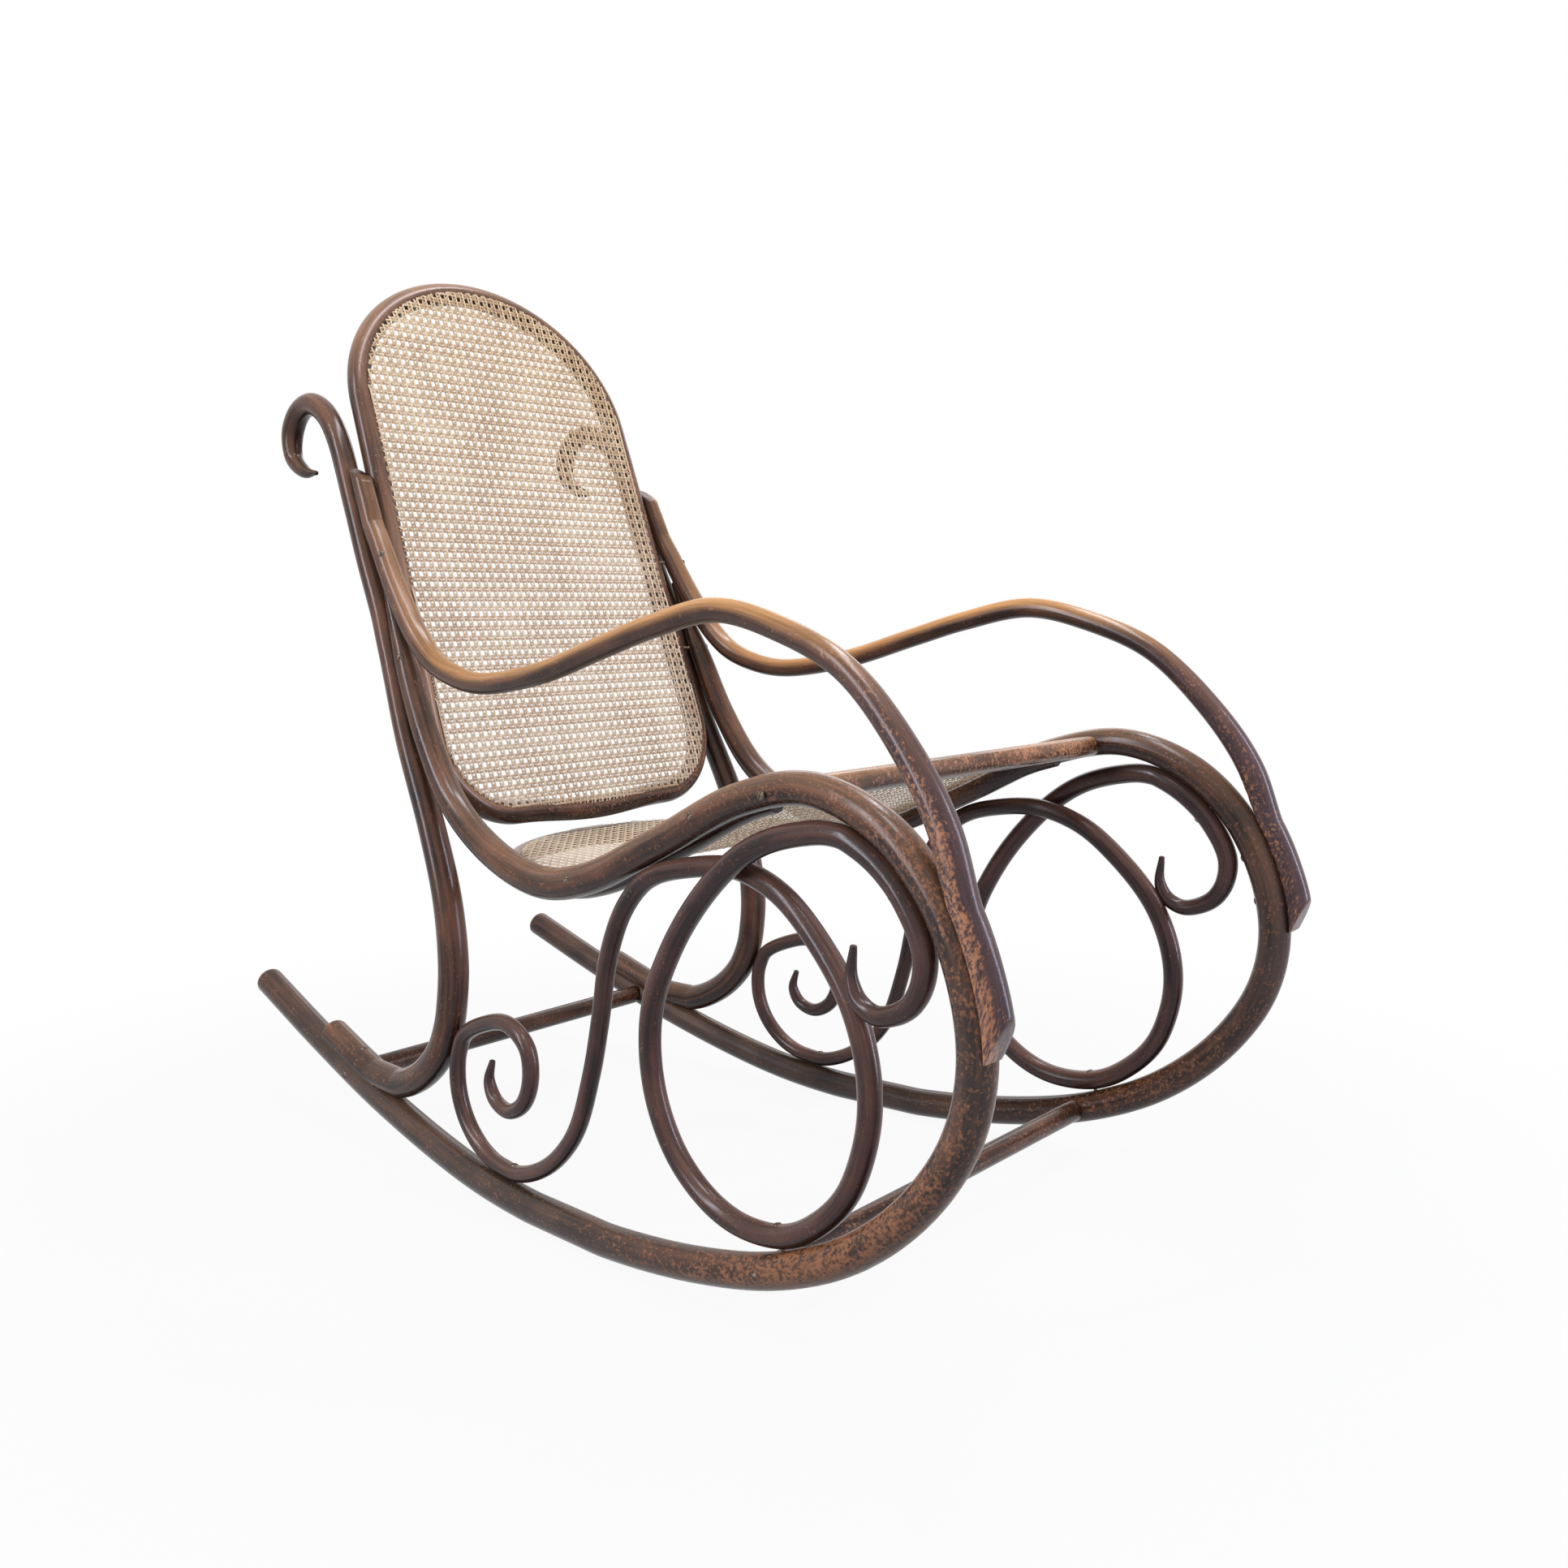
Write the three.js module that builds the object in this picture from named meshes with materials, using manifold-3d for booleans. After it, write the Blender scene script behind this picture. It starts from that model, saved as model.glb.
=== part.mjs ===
// Bentwood rocking chair with cane seat and back.
//
// Millimetres, +X towards the front of the chair, +Y towards the sitter's left, +Z up.
// The origin is on the floor, under the middle of the chair's outline.
//
// Each side frame is four bent rods that lie against each other: the runner loop, the rear post, the arm
// and the scroll loop. The runner loop ends in a thin tip, wedged between the post and the arm. The frames
// stand a little closer together at the rear and at the top. The back hoop, the seat rails and the stretchers
// run between them. Wood screws hold the rods where they touch.

import * as THREE from 'three';
import Module from 'manifold-3d';
import { mergeGeometries, mergeVertices } from 'three/addons/utils/BufferGeometryUtils.js';

const wasm = await Module();
wasm.setup();

// Overall sizes

const chairLength = 1074;
const chairHeight = 960;
const frameSpacing = 487;
const toeInShare = 0.062;
const leanInShare = 0.0202;
const touch = 0.3;

// Rods

const runnerDiameter = 31;
const archDiameter = 28;
const uprightDiameter = 25;
const uprightTipDiameter = 9;
const postDiameter = 31;
const postTopDiameter = 24;
const postTipDiameter = 4;
const postNeckDiameter = 15;
const footLap = 13;
const armDiameter = 21;
const armBendDiameter = 25;
const armTopDiameter = 21;
const armFrontDiameter = 27;
const armLap = 9;
const armFrontOffset = 5.5;
const scrollDiameter = 20;
const sBendDiameter = 17.5;
const rearCurlDiameter = 16.5;
const frontCurlDiameter = 16;
const curlTipDiameter = 4;
const curlNeckDiameter = 13;
const hoopDiameter = 25;
const seatRailDiameter = 22;
const stretcherDiameter = 22;
const frontRailHeight = 21;
const frontRailDepth = 42;
const frontRailCorner = 6;
const frontRailDrop = 3;

// How far a rounded end reaches and shrinks, ring by ring, and how steeply the arm's ends are cut

const tipDomeShare = 0.55;
const tipAngles = [36, 69].map(THREE.MathUtils.degToRad);
const armTopBevelShare = 1.2;
const armFrontBevelShare = 1.9;

// Back hoop. It lies against the uprights below and against the arms above, and leans less than they do.

const hoopTilt = THREE.MathUtils.degToRad(19.2);
const hoopContactShares = [0.546, 0.737];
const hoopScrewShares = [0.56, 0.67];
const hoopSetBack = 5;
const hoopBottomShare = 0.367;
const hoopCrownRise = 152;
const hoopCornerRadius = 84;
const hoopBottomSag = 6;
const hoopCrownSteps = 9;
const hoopCornerSteps = 6;

// Seat and stretchers, placed along the chair as shares of its length

const seatTurnShare = 0.004;
const seatRearShare = -0.186;
const frontRailShare = 0.277;
const frontStretcherShare = 0.2765;
const rearStretcherShare = -0.31;
const seatRailDrop = 7;
const seatSideSteps = 8;
const seatBendSteps = 8;

// Wood screws

const screwHeadDiameter = 8;
const screwHeadHeight = 2.6;
const screwHeadFlatShare = 0.55;
const screwDiameter = 4;
const screwTip = 4;
const screwBite = 11;
const screwSink = 1.2;
const screwSides = 6;
const overrun = 6;

// Cane. It lies on the front of the hoop and on top of the seat rail, and laps over them by its lips.

const caneThickness = 2.4;
const caneRim = 14;
const backLip = 9.5;
const seatLip = 5;
const backGap = 25;
const backBar = 17;
const seatGap = 26;
const seatBar = 18;

// Steps along and round the rods

const rodSides = 8;
const rodTurn = THREE.MathUtils.degToRad(13);
const rodStep = 70;
const splineSteps = 600;
const stepAllowance = 0.45;

// Rods that bend side by side keep the touching gap and what the chords of their steps take up

const bentTouch = touch + stepAllowance;

// Routes of the rods in the side view, from the tail to the top of the uprights and from the top down.
// X is a share of the chair's length from its middle, Z a share of its height from the floor.

const tailShares = [[-0.486, 0.155], [-0.376, 0.109], [-0.254, 0.064], [-0.111, 0.0268]];
const rollShares = [-0.015, 0.085];
const rollRingShares = [0, 0.25, 0.75, 1];
const frontShares = [
  [0.2, 0.0318], [0.29, 0.0581], [0.362, 0.098], [0.42, 0.155], [0.456, 0.218],
  [0.467, 0.278], [0.458, 0.338], [0.431, 0.398], [0.384, 0.446], [0.317, 0.47],
];
const seatSideShares = [
  [0.243, 0.455], [0.153, 0.407], [0.062, 0.361], [0, 0.349], [-0.069, 0.368], [-0.13, 0.411],
  [-0.172, 0.475],
];
const uprightShares = [[-0.205, 0.55], [-0.2255, 0.598], [-0.2445, 0.643]];

const postScrollShares = [
  [-0.366, 0.764], [-0.389, 0.767], [-0.41, 0.784], [-0.412, 0.811], [-0.398, 0.833],
  [-0.374, 0.841], [-0.346, 0.828], [-0.324, 0.8],
];
const postTopShares = [[-0.2945, 0.726], [-0.2715, 0.664]];
const postBesideUprightShares = [[-0.248, 0.6017], [-0.2305, 0.55]];
const postBendShares = [
  [-0.206, 0.475], [-0.166, 0.379], [-0.143, 0.308], [-0.1345, 0.243], [-0.137, 0.202], [-0.1425, 0.174],
  [-0.157, 0.142], [-0.188, 0.11],
];
const footShares = [[-0.228, 0.091], [-0.274, 0.086], [-0.317, 0.101], [-0.352, 0.117]];

const armBesidePostShares = [[-0.2765, 0.7593], [-0.2635, 0.7079]];
const armShares = [
  [-0.2482, 0.6793], [-0.2285, 0.6504], [-0.2136, 0.6208], [-0.2021, 0.601], [-0.1895, 0.5809],
  [-0.168, 0.5612], [-0.136, 0.5471], [-0.09, 0.538], [-0.003, 0.551], [0.083, 0.579], [0.142, 0.598],
  [0.215, 0.613], [0.282, 0.598], [0.345, 0.568], [0.402, 0.509], [0.438, 0.452],
];
const armBesideRunnerShares = [[0.462, 0.396], [0.479, 0.351], [0.487, 0.295]];

const frontCurlShares = [
  [0.3575, 0.349], [0.356, 0.323], [0.3625, 0.307], [0.378, 0.298], [0.394, 0.301], [0.41, 0.312],
  [0.42, 0.332], [0.4205, 0.358],
];
const scrollUnderArchShares = [0.4, 0.402];
const scrollDownShares = [
  [0.367, 0.428], [0.34, 0.437], [0.31, 0.434], [0.272, 0.421], [0.238, 0.397], [0.2, 0.354], [0.172, 0.309],
  [0.153, 0.263], [0.148, 0.217], [0.156, 0.169], [0.178, 0.1265], [0.213, 0.0965], [0.25, 0.0845],
];
const scrollOnRunnerShares = [0.292, 0.1];
const scrollUpShares = [
  [0.33, 0.113], [0.355, 0.144], [0.369, 0.184], [0.373, 0.221], [0.367, 0.262], [0.35, 0.303],
  [0.317, 0.345], [0.279, 0.377], [0.235, 0.392], [0.19, 0.389],
];
const scrollUnderSeatShares = [0.142, 0.37];
const sBendShares = [
  [0.11, 0.34], [0.09, 0.291], [0.08, 0.232], [0.068, 0.174], [0.045, 0.108], [0.006, 0.064],
];
const rearCurlOnRunnerShares = [-0.042, 0.043];
const rearCurlUpShares = [[-0.086, 0.053], [-0.116, 0.081], [-0.129, 0.119]];
const rearCurlOnPostShares = [-0.119, 0.164];
const rearCurlShares = [
  [-0.085, 0.189], [-0.05, 0.196], [-0.022, 0.178], [-0.017, 0.147], [-0.028, 0.119], [-0.05, 0.106],
  [-0.07, 0.113], [-0.079, 0.131], [-0.074, 0.152],
];

// Where the screws of a side frame go. Each place lies on the rod that carries the head.

const postScrewShares = [-0.2495, 0.606];
const armTopScrewShares = [-0.286, 0.703];
const footScrewShares = [-0.3, 0.0945];
const armFrontScrewShares = [[0.464, 0.318], [0.45, 0.364]];
const archScrewShares = [0.4, 0.402];
const scrollScrewShares = [0.29, 0.087];
const rearCurlScrewShares = [-0.042, 0.043];
const seatScrewShares = [0.05, 0.2];

// Curves and distances

function placed(shares) {
  return shares.map(([x, z]) => new THREE.Vector3(x * chairLength, 0, z * chairHeight));
}

function smooth(points) {
  return new THREE.CatmullRomCurve3(points, false, 'centripetal').getPoints(splineSteps);
}

function lengthsAlong(line) {
  const lengths = [0];
  for (let i = 1; i < line.length; i += 1) {
    lengths.push(lengths[i - 1] + line[i].distanceTo(line[i - 1]));
  }
  return lengths;
}

function nearestOn(line, point) {
  const segment = new THREE.Line3();
  const candidate = new THREE.Vector3();
  const best = { distance: Infinity, point: new THREE.Vector3(), index: 0 };
  for (let i = 1; i < line.length; i += 1) {
    segment.set(line[i - 1], line[i]).closestPointToPoint(point, true, candidate);
    const distance = candidate.distanceTo(point);
    if (distance < best.distance) {
      best.distance = distance;
      best.point.copy(candidate);
      best.index = i;
    }
  }
  return best;
}

function valueAlong(table, share) {
  const next = table.findIndex(([at]) => at > share);
  if (next === 0) return table[0][1];
  if (next < 0) return table[table.length - 1][1];
  const [fromAt, from] = table[next - 1];
  const [toAt, to] = table[next];
  return THREE.MathUtils.mapLinear(share, fromAt, toAt, from, to);
}

// A rod in the side view: its centre line, and its diameters at named places along it

class Rod {
  constructor(points, diameters) {
    this.line = smooth(points);
    this.cuts = [[0, 0]];
    this.measure();
    this.diameters = diameters.map(([place, diameter]) => [this.shareAt(place), diameter]);
  }

  measure() {
    this.lengths = lengthsAlong(this.line);
    this.length = this.lengths[this.lengths.length - 1];
  }

  shareAt(shares) {
    return this.lengths[nearestOn(this.line, placed([shares])[0]).index] / this.length;
  }

  radius(index) {
    return valueAlong(this.diameters, this.lengths[index] / this.length) / 2;
  }

  cut(index) {
    return valueAlong(this.cuts, this.lengths[index] / this.length);
  }

  // The centre of a rod of this diameter that lies against this one, near the place given

  beside(shares, diameter, lap = 0) {
    const [place] = placed([shares]);
    const near = nearestOn(this.line, place);
    const away = place.sub(near.point).normalize();
    return near.point.clone().addScaledVector(away, this.radius(near.index) + diameter / 2 - lap + bentTouch);
  }

  // Flattens the side that lies against another rod, to this depth between two places

  flatten(from, to, depth) {
    this.cuts = [[0, 0], [this.shareAt(from), 0], [this.shareAt(to), depth], [1, depth]];
  }

  // Moves this rod clear where it would run into the one that it lies against

  settleOn(other) {
    this.line.forEach((point, index) => {
      const near = nearestOn(other.line, point);
      const reach = other.radius(near.index) + this.radius(index) - this.cut(index) + bentTouch;
      if (near.distance < reach) {
        point.add(point.clone().sub(near.point).multiplyScalar(reach / near.distance - 1));
      }
    });
    this.measure();
  }
}

// The rods of a side frame

function makeRunner() {
  const floor = runnerDiameter / 2;
  const roll = rollShares.map((x) => new THREE.Vector3(x * chairLength, 0, floor));
  const points = [
    ...placed(tailShares), ...roll, ...placed(frontShares), ...placed(seatSideShares),
    ...placed(uprightShares),
  ];
  const rod = new Rod(points, [
    [tailShares[0], runnerDiameter],
    [frontShares[7], runnerDiameter],
    [frontShares[9], archDiameter],
    [seatSideShares[1], archDiameter],
    [seatSideShares[3], runnerDiameter],
    [uprightShares[0], uprightDiameter],
    [uprightShares[2], uprightTipDiameter],
  ]);
  rod.line.forEach((point) => {
    point.z = Math.max(point.z, floor);
  });
  rod.measure();
  return rod;
}

function makePost(runner) {
  const upper = postBesideUprightShares.map((place) => runner.beside(place, postTopDiameter));
  const foot = footShares.map((place, i) => runner.beside(place, postDiameter, i > 0 ? footLap : 0));
  const points = [
    ...placed(postScrollShares), ...placed(postTopShares), ...upper, ...placed(postBendShares), ...foot,
  ];
  const rod = new Rod(points, [
    [postScrollShares[0], postTipDiameter],
    [postScrollShares[1], postNeckDiameter],
    [postScrollShares[3], postTopDiameter],
    [postBesideUprightShares[1], postTopDiameter],
    [postBendShares[3], postDiameter],
    [footShares[3], postDiameter],
  ]);
  rod.flatten(footShares[0], footShares[1], footLap);
  rod.settleOn(runner);
  return rod;
}

function makeArm(runner, post) {
  const upper = armBesidePostShares.map((place) => post.beside(place, armTopDiameter));
  const front = armBesideRunnerShares.map((place) => runner.beside(place, armFrontDiameter, armLap));
  const rod = new Rod([...upper, ...placed(armShares), ...front], [
    [armBesidePostShares[0], armTopDiameter],
    [armShares[3], armBendDiameter],
    [armShares[7], armDiameter],
    [armShares[13], armDiameter],
    [armBesideRunnerShares[0], armFrontDiameter],
  ]);
  rod.flatten(armShares[15], armBesideRunnerShares[0], armLap);
  rod.settleOn(post);
  rod.settleOn(runner);
  return rod;
}

// The front end of the arm sits towards the outer side of the runner loop

function armSteps(arm) {
  const from = arm.shareAt(armShares[13]);
  const to = arm.shareAt(armBesideRunnerShares[0]);
  return (index) => armFrontOffset * THREE.MathUtils.smoothstep(arm.lengths[index] / arm.length, from, to);
}

function makeScroll(runner, post) {
  const underArch = runner.beside(scrollUnderArchShares, scrollDiameter);
  const onRunner = runner.beside(scrollOnRunnerShares, scrollDiameter);
  const underSeat = runner.beside(scrollUnderSeatShares, sBendDiameter);
  const rearOnRunner = runner.beside(rearCurlOnRunnerShares, rearCurlDiameter);
  const rearOnPost = post.beside(rearCurlOnPostShares, rearCurlDiameter);
  const points = [
    ...placed(frontCurlShares), underArch, ...placed(scrollDownShares), onRunner, ...placed(scrollUpShares),
    underSeat, ...placed(sBendShares), rearOnRunner, ...placed(rearCurlUpShares), rearOnPost,
    ...placed(rearCurlShares),
  ];
  const rod = new Rod(points, [
    [frontCurlShares[0], curlTipDiameter],
    [frontCurlShares[1], curlNeckDiameter],
    [frontCurlShares[3], frontCurlDiameter],
    [frontCurlShares[7], scrollDiameter],
    [scrollUpShares[6], scrollDiameter],
    [scrollUnderSeatShares, sBendDiameter],
    [rearCurlOnRunnerShares, rearCurlDiameter],
    [rearCurlShares[4], rearCurlDiameter],
    [rearCurlShares[7], curlNeckDiameter],
    [rearCurlShares[8], curlTipDiameter],
  ]);
  rod.settleOn(runner);
  rod.settleOn(post);
  return rod;
}

// Where the scroll loop passes itself, each of its two runs steps aside to its own side of the frame

function crossingOf(rod) {
  const middle = Math.round(rod.line.length / 2);
  const best = { distance: Infinity, first: 0, second: 0 };
  for (let i = 0; i < middle; i += 1) {
    for (let j = middle; j < rod.line.length; j += 1) {
      const distance = rod.line[i].distanceTo(rod.line[j]);
      if (distance < best.distance) {
        best.distance = distance;
        best.first = i;
        best.second = j;
      }
    }
  }
  return best;
}

function sideSteps(scroll) {
  const { first, second } = crossingOf(scroll);
  const step = (scroll.radius(first) + scroll.radius(second)) / 2 + touch;
  const share = (index) => scroll.lengths[index] / scroll.length;
  const table = [
    [0, 0],
    [scroll.shareAt(scrollUnderArchShares), 0],
    [share(first), step],
    [scroll.shareAt(scrollOnRunnerShares), 0],
    [share(second), -step],
    [scroll.shareAt(scrollUnderSeatShares), 0],
    [1, 0],
  ];
  return (index) => {
    const at = share(index);
    const next = table.findIndex(([place]) => place > at);
    if (next < 0) return 0;
    const [fromAt, from] = table[next - 1];
    const [toAt, to] = table[next];
    return THREE.MathUtils.lerp(from, to, THREE.MathUtils.smoothstep(at, fromAt, toAt));
  };
}

// Solids swept through rings of points

function sweep(rings, closed = false) {
  const sides = rings[0].length;
  const positions = rings.flat().flatMap((point) => point.toArray());
  const index = [];
  const spans = closed ? rings.length : rings.length - 1;
  for (let k = 0; k < spans; k += 1) {
    const here = k * sides;
    const there = ((k + 1) % rings.length) * sides;
    for (let j = 0; j < sides; j += 1) {
      const next = (j + 1) % sides;
      index.push(here + j, here + next, there + next);
      index.push(here + j, there + next, there + j);
    }
  }
  if (!closed) {
    const last = (rings.length - 1) * sides;
    for (let j = 1; j < sides - 1; j += 1) {
      index.push(0, j + 1, j);
      index.push(last, last + j, last + j + 1);
    }
  }
  const geometry = new THREE.BufferGeometry();
  geometry.setAttribute('position', new THREE.Float32BufferAttribute(positions, 3));
  geometry.setIndex(index);
  geometry.computeVertexNormals();
  return geometry;
}

// Picks the places along a line that get a ring: sooner where it bends, later where it runs straight

function ringPlaces(line, kept = []) {
  const places = [0];
  let turn = 0;
  let length = 0;
  for (let i = 1; i < line.length - 1; i += 1) {
    const before = line[i].clone().sub(line[i - 1]);
    const after = line[i + 1].clone().sub(line[i]);
    length += before.length();
    turn += before.lengthSq() > 0 && after.lengthSq() > 0 ? before.angleTo(after) : 0;
    if (kept.includes(i) || turn / rodTurn + length / rodStep >= 1) {
      places.push(i);
      turn = 0;
      length = 0;
    }
  }
  return [...places, line.length - 1];
}

function directions(centres, closed = false) {
  const count = centres.length;
  return centres.map((centre, i) => {
    const next = closed ? centres[(i + 1) % count] : centres[Math.min(i + 1, count - 1)];
    const last = closed ? centres[(i + count - 1) % count] : centres[Math.max(i - 1, 0)];
    return next.clone().sub(last).normalize();
  });
}

// One ring of a rod. Its flats face along the bend and across it, at the rod's true radius.

function rodRing(centre, along, across, radius, low, high) {
  const inBend = along.clone().cross(across).normalize();
  const sideways = along.clone().cross(inBend);
  const corner = radius / Math.cos(Math.PI / rodSides);
  const ring = [];
  for (let j = 0; j < rodSides; j += 1) {
    const angle = ((j + 0.5) / rodSides) * 2 * Math.PI;
    const bend = THREE.MathUtils.clamp(corner * Math.cos(angle), low, high);
    const aside = corner * Math.sin(angle);
    ring.push(centre.clone().addScaledVector(inBend, bend).addScaledVector(sideways, aside));
  }
  return ring;
}

// A rounded end: rings that shrink beyond the last one, forwards (+1) or backwards (-1) along the rod

function domedEnd(centre, along, across, radius, sense) {
  return tipAngles.map((angle) => {
    const reach = sense * radius * tipDomeShare * Math.sin(angle);
    const size = radius * Math.cos(angle);
    return rodRing(centre.clone().addScaledVector(along, reach), along, across, size, -size, size);
  });
}

// A slanting end: the last ring leans along the rod

function slantedEnd(ring, centre, along, across, slope) {
  const inBend = along.clone().cross(across).normalize();
  return ring.map((point) => {
    const lean = point.clone().sub(centre).dot(inBend) * slope;
    return point.clone().addScaledVector(along, lean);
  });
}

const acrossChair = new THREE.Vector3(0, 1, 0);
const upwards = new THREE.Vector3(0, 0, 1);

function frameReach(x, z) {
  return frameSpacing / 2 + toeInShare * x - leanInShare * z;
}

function toSpace(point, side, outward = 0) {
  return new THREE.Vector3(point.x, side * (frameReach(point.x, point.z) + outward), point.z);
}

// A rod of a side frame. Its flattened side faces along the bend direction (lap 1) or against it (lap -1).
// An end without a slope is rounded.

function frameRod(rod, side, { lap = 1, outward = () => 0, startSlope = 0, endSlope = 0, kept = [] } = {}) {
  const places = ringPlaces(rod.line, kept);
  const centres = places.map((i) => toSpace(rod.line[i], side, outward(i)));
  const along = directions(centres);
  const rings = places.map((i, k) => {
    const radius = rod.radius(i);
    const flat = radius - rod.cut(i);
    const low = lap < 0 ? -flat : -radius;
    const high = lap > 0 ? flat : radius;
    return rodRing(centres[k], along[k], acrossChair, radius, low, high);
  });
  const last = rings.length - 1;
  const lastRadius = rod.radius(places[last]) - rod.cut(places[last]);
  rings[0] = slantedEnd(rings[0], centres[0], along[0], acrossChair, startSlope);
  rings[last] = slantedEnd(rings[last], centres[last], along[last], acrossChair, endSlope);
  const startDome = domedEnd(centres[0], along[0], acrossChair, rod.radius(0), -1).reverse();
  const endDome = domedEnd(centres[last], along[last], acrossChair, lastRadius, 1);
  return sweep([...(startSlope === 0 ? startDome : []), ...rings, ...(endSlope === 0 ? endDome : [])]);
}

// The back hoop lies in a sloping plane. Its sides touch the uprights below and the arms above, and stand
// that far apart. The plane's foot lies a little behind the middle of the line between the upper contacts.

function hoopPlane(runner, arm) {
  const heights = hoopContactShares.map((share) => share * chairHeight);
  const slope = new THREE.Vector3(-Math.sin(hoopTilt), 0, Math.cos(hoopTilt));
  const [lower, upper] = [runner, arm].map((rod, i) => pointAtHeight(rod, heights[i]));
  const foot = upper.point.clone();
  foot.x -= hoopSetBack;
  const contacts = [lower, upper].map(({ point, radius }) => {
    const up = (point.z - foot.z) / slope.z;
    const x = foot.x + up * slope.x;
    return { up, halfWidth: frameReach(x, point.z) - radius - bentTouch - hoopDiameter / 2 };
  });
  return {
    foot,
    slope,
    forward: acrossChair.clone().cross(slope),
    upAt: (share) => (share * chairHeight - foot.z) / slope.z,
    halfWidth: (up) => THREE.MathUtils.mapLinear(
      up, contacts[0].up, contacts[1].up, contacts[0].halfWidth, contacts[1].halfWidth,
    ),
  };
}

// Where a rod first passes a height

function pointAtHeight(rod, height) {
  const above = rod.line.map((point) => point.z - height);
  const index = above.findIndex((value, i) => i > 0 && above[i - 1] * value <= 0);
  return { point: rod.line[index], radius: rod.radius(index) };
}

function onHoopPlane(plane, across, up, forward = 0) {
  return plane.foot.clone()
    .addScaledVector(plane.slope, up)
    .addScaledVector(plane.forward, forward)
    .add(new THREE.Vector3(0, across, 0));
}

// The hoop's centre line in its plane, as one loop: from the middle of the bottom up the left side, over the
// crown and down the right side

function hoopOutline(plane) {
  const radius = hoopDiameter / 2;
  const top = plane.upAt(1) - radius / plane.slope.z;
  const crown = top - hoopCrownRise;
  const lowest = plane.upAt(hoopBottomShare) + radius / plane.slope.z;
  const bottom = lowest + hoopBottomSag;
  const corner = bottom + hoopCornerRadius;
  const crownHalf = plane.halfWidth(crown);
  const cornerHalf = plane.halfWidth(corner);
  const turns = (count) => Array.from({ length: count + 1 }, (_, i) => (i / count) * (Math.PI / 2));
  const cornerArc = turns(hoopCornerSteps).map((turn) => [
    cornerHalf - hoopCornerRadius * (1 - Math.sin(turn)), corner - hoopCornerRadius * Math.cos(turn),
  ]);
  const crownArc = turns(hoopCrownSteps).map((turn) => [
    crownHalf * Math.cos(turn), crown + hoopCrownRise * Math.sin(turn),
  ]);
  const left = [[0, lowest], ...cornerArc, ...crownArc];
  const right = left.slice(1, -1).reverse().map(([across, up]) => [-across, up]);
  return [...left, ...right].map(([across, up]) => new THREE.Vector2(across, up));
}

// Moves each point of a loop inwards, square to the loop. The loops here run anticlockwise.

function insetLoop(loop, distance) {
  return loop.map((point, i) => {
    const next = loop[(i + 1) % loop.length];
    const last = loop[(i + loop.length - 1) % loop.length];
    const along = next.clone().sub(last).normalize();
    return new THREE.Vector2(point.x - along.y * distance, point.y + along.x * distance);
  });
}

function hoopGeometry(plane, outline) {
  const centres = outline.map(({ x, y }) => onHoopPlane(plane, x, y));
  const along = directions(centres, true);
  const radius = hoopDiameter / 2;
  const rings = centres.map((centre, i) => rodRing(centre, along[i], plane.forward, radius, -radius, radius));
  return sweep(rings, true);
}

// Closed meshes as solids that can be cut, and back again

function toSolid(geometry) {
  const bare = geometry.clone();
  bare.deleteAttribute('normal');
  bare.deleteAttribute('uv');
  const merged = mergeVertices(bare);
  const mesh = new wasm.Mesh({
    numProp: 3,
    vertProperties: new Float32Array(merged.getAttribute('position').array),
    triVerts: new Uint32Array(merged.getIndex().array),
  });
  return new wasm.Manifold(mesh);
}

function toGeometry(solid) {
  const mesh = solid.getMesh();
  const geometry = new THREE.BufferGeometry();
  geometry.setAttribute('position', new THREE.BufferAttribute(new Float32Array(mesh.vertProperties), 3));
  geometry.setIndex(new THREE.BufferAttribute(new Uint32Array(mesh.triVerts), 1));
  geometry.computeVertexNormals();
  return geometry;
}

// A flat net inside a loop: a sheet with a margin and square gaps. bend puts each point in its place.

function netGeometry(loop, lip, gap, bar, bend) {
  const rim = insetLoop(loop, lip + caneRim);
  const box = new THREE.Box2().setFromPoints(rim);
  const middle = box.getCenter(new THREE.Vector2());
  const size = box.getSize(new THREE.Vector2());
  const pitch = gap + bar;
  const columns = Math.floor((size.x + bar) / pitch);
  const rows = Math.floor((size.y + bar) / pitch);
  const cutters = [];
  for (let i = 0; i < columns; i += 1) {
    for (let j = 0; j < rows; j += 1) {
      const centre = new THREE.Vector2(
        middle.x + (i - (columns - 1) / 2) * pitch,
        middle.y + (j - (rows - 1) / 2) * pitch,
      );
      const corners = [[-1, -1], [-1, 1], [1, 1], [1, -1]].map(([x, y]) => (
        new THREE.Vector2(centre.x + (x * gap) / 2, centre.y + (y * gap) / 2)
      ));
      if (corners.every((corner) => insideLoop(rim, corner))) {
        cutters.push(new THREE.BoxGeometry(gap, gap, 3 * caneThickness).translate(centre.x, centre.y, 0));
      }
    }
  }
  const shape = new THREE.Shape(loop);
  const sheet = new THREE.ExtrudeGeometry(shape, { depth: caneThickness, bevelEnabled: false });
  sheet.translate(0, 0, -caneThickness / 2);
  const net = toGeometry(toSolid(sheet).subtract(toSolid(mergeGeometries(cutters))));
  const position = net.getAttribute('position');
  const point = new THREE.Vector3();
  for (let i = 0; i < position.count; i += 1) {
    bend(point.fromBufferAttribute(position, i));
    position.setXYZ(i, point.x, point.y, point.z);
  }
  net.computeVertexNormals();
  return net;
}

function insideLoop(loop, point) {
  let inside = false;
  for (let i = 0, j = loop.length - 1; i < loop.length; j = i, i += 1) {
    const a = loop[i];
    const b = loop[j];
    if ((a.y > point.y) !== (b.y > point.y)) {
      const crossing = a.x + ((point.y - a.y) / (b.y - a.y)) * (b.x - a.x);
      if (point.x < crossing) inside = !inside;
    }
  }
  return inside;
}

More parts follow.
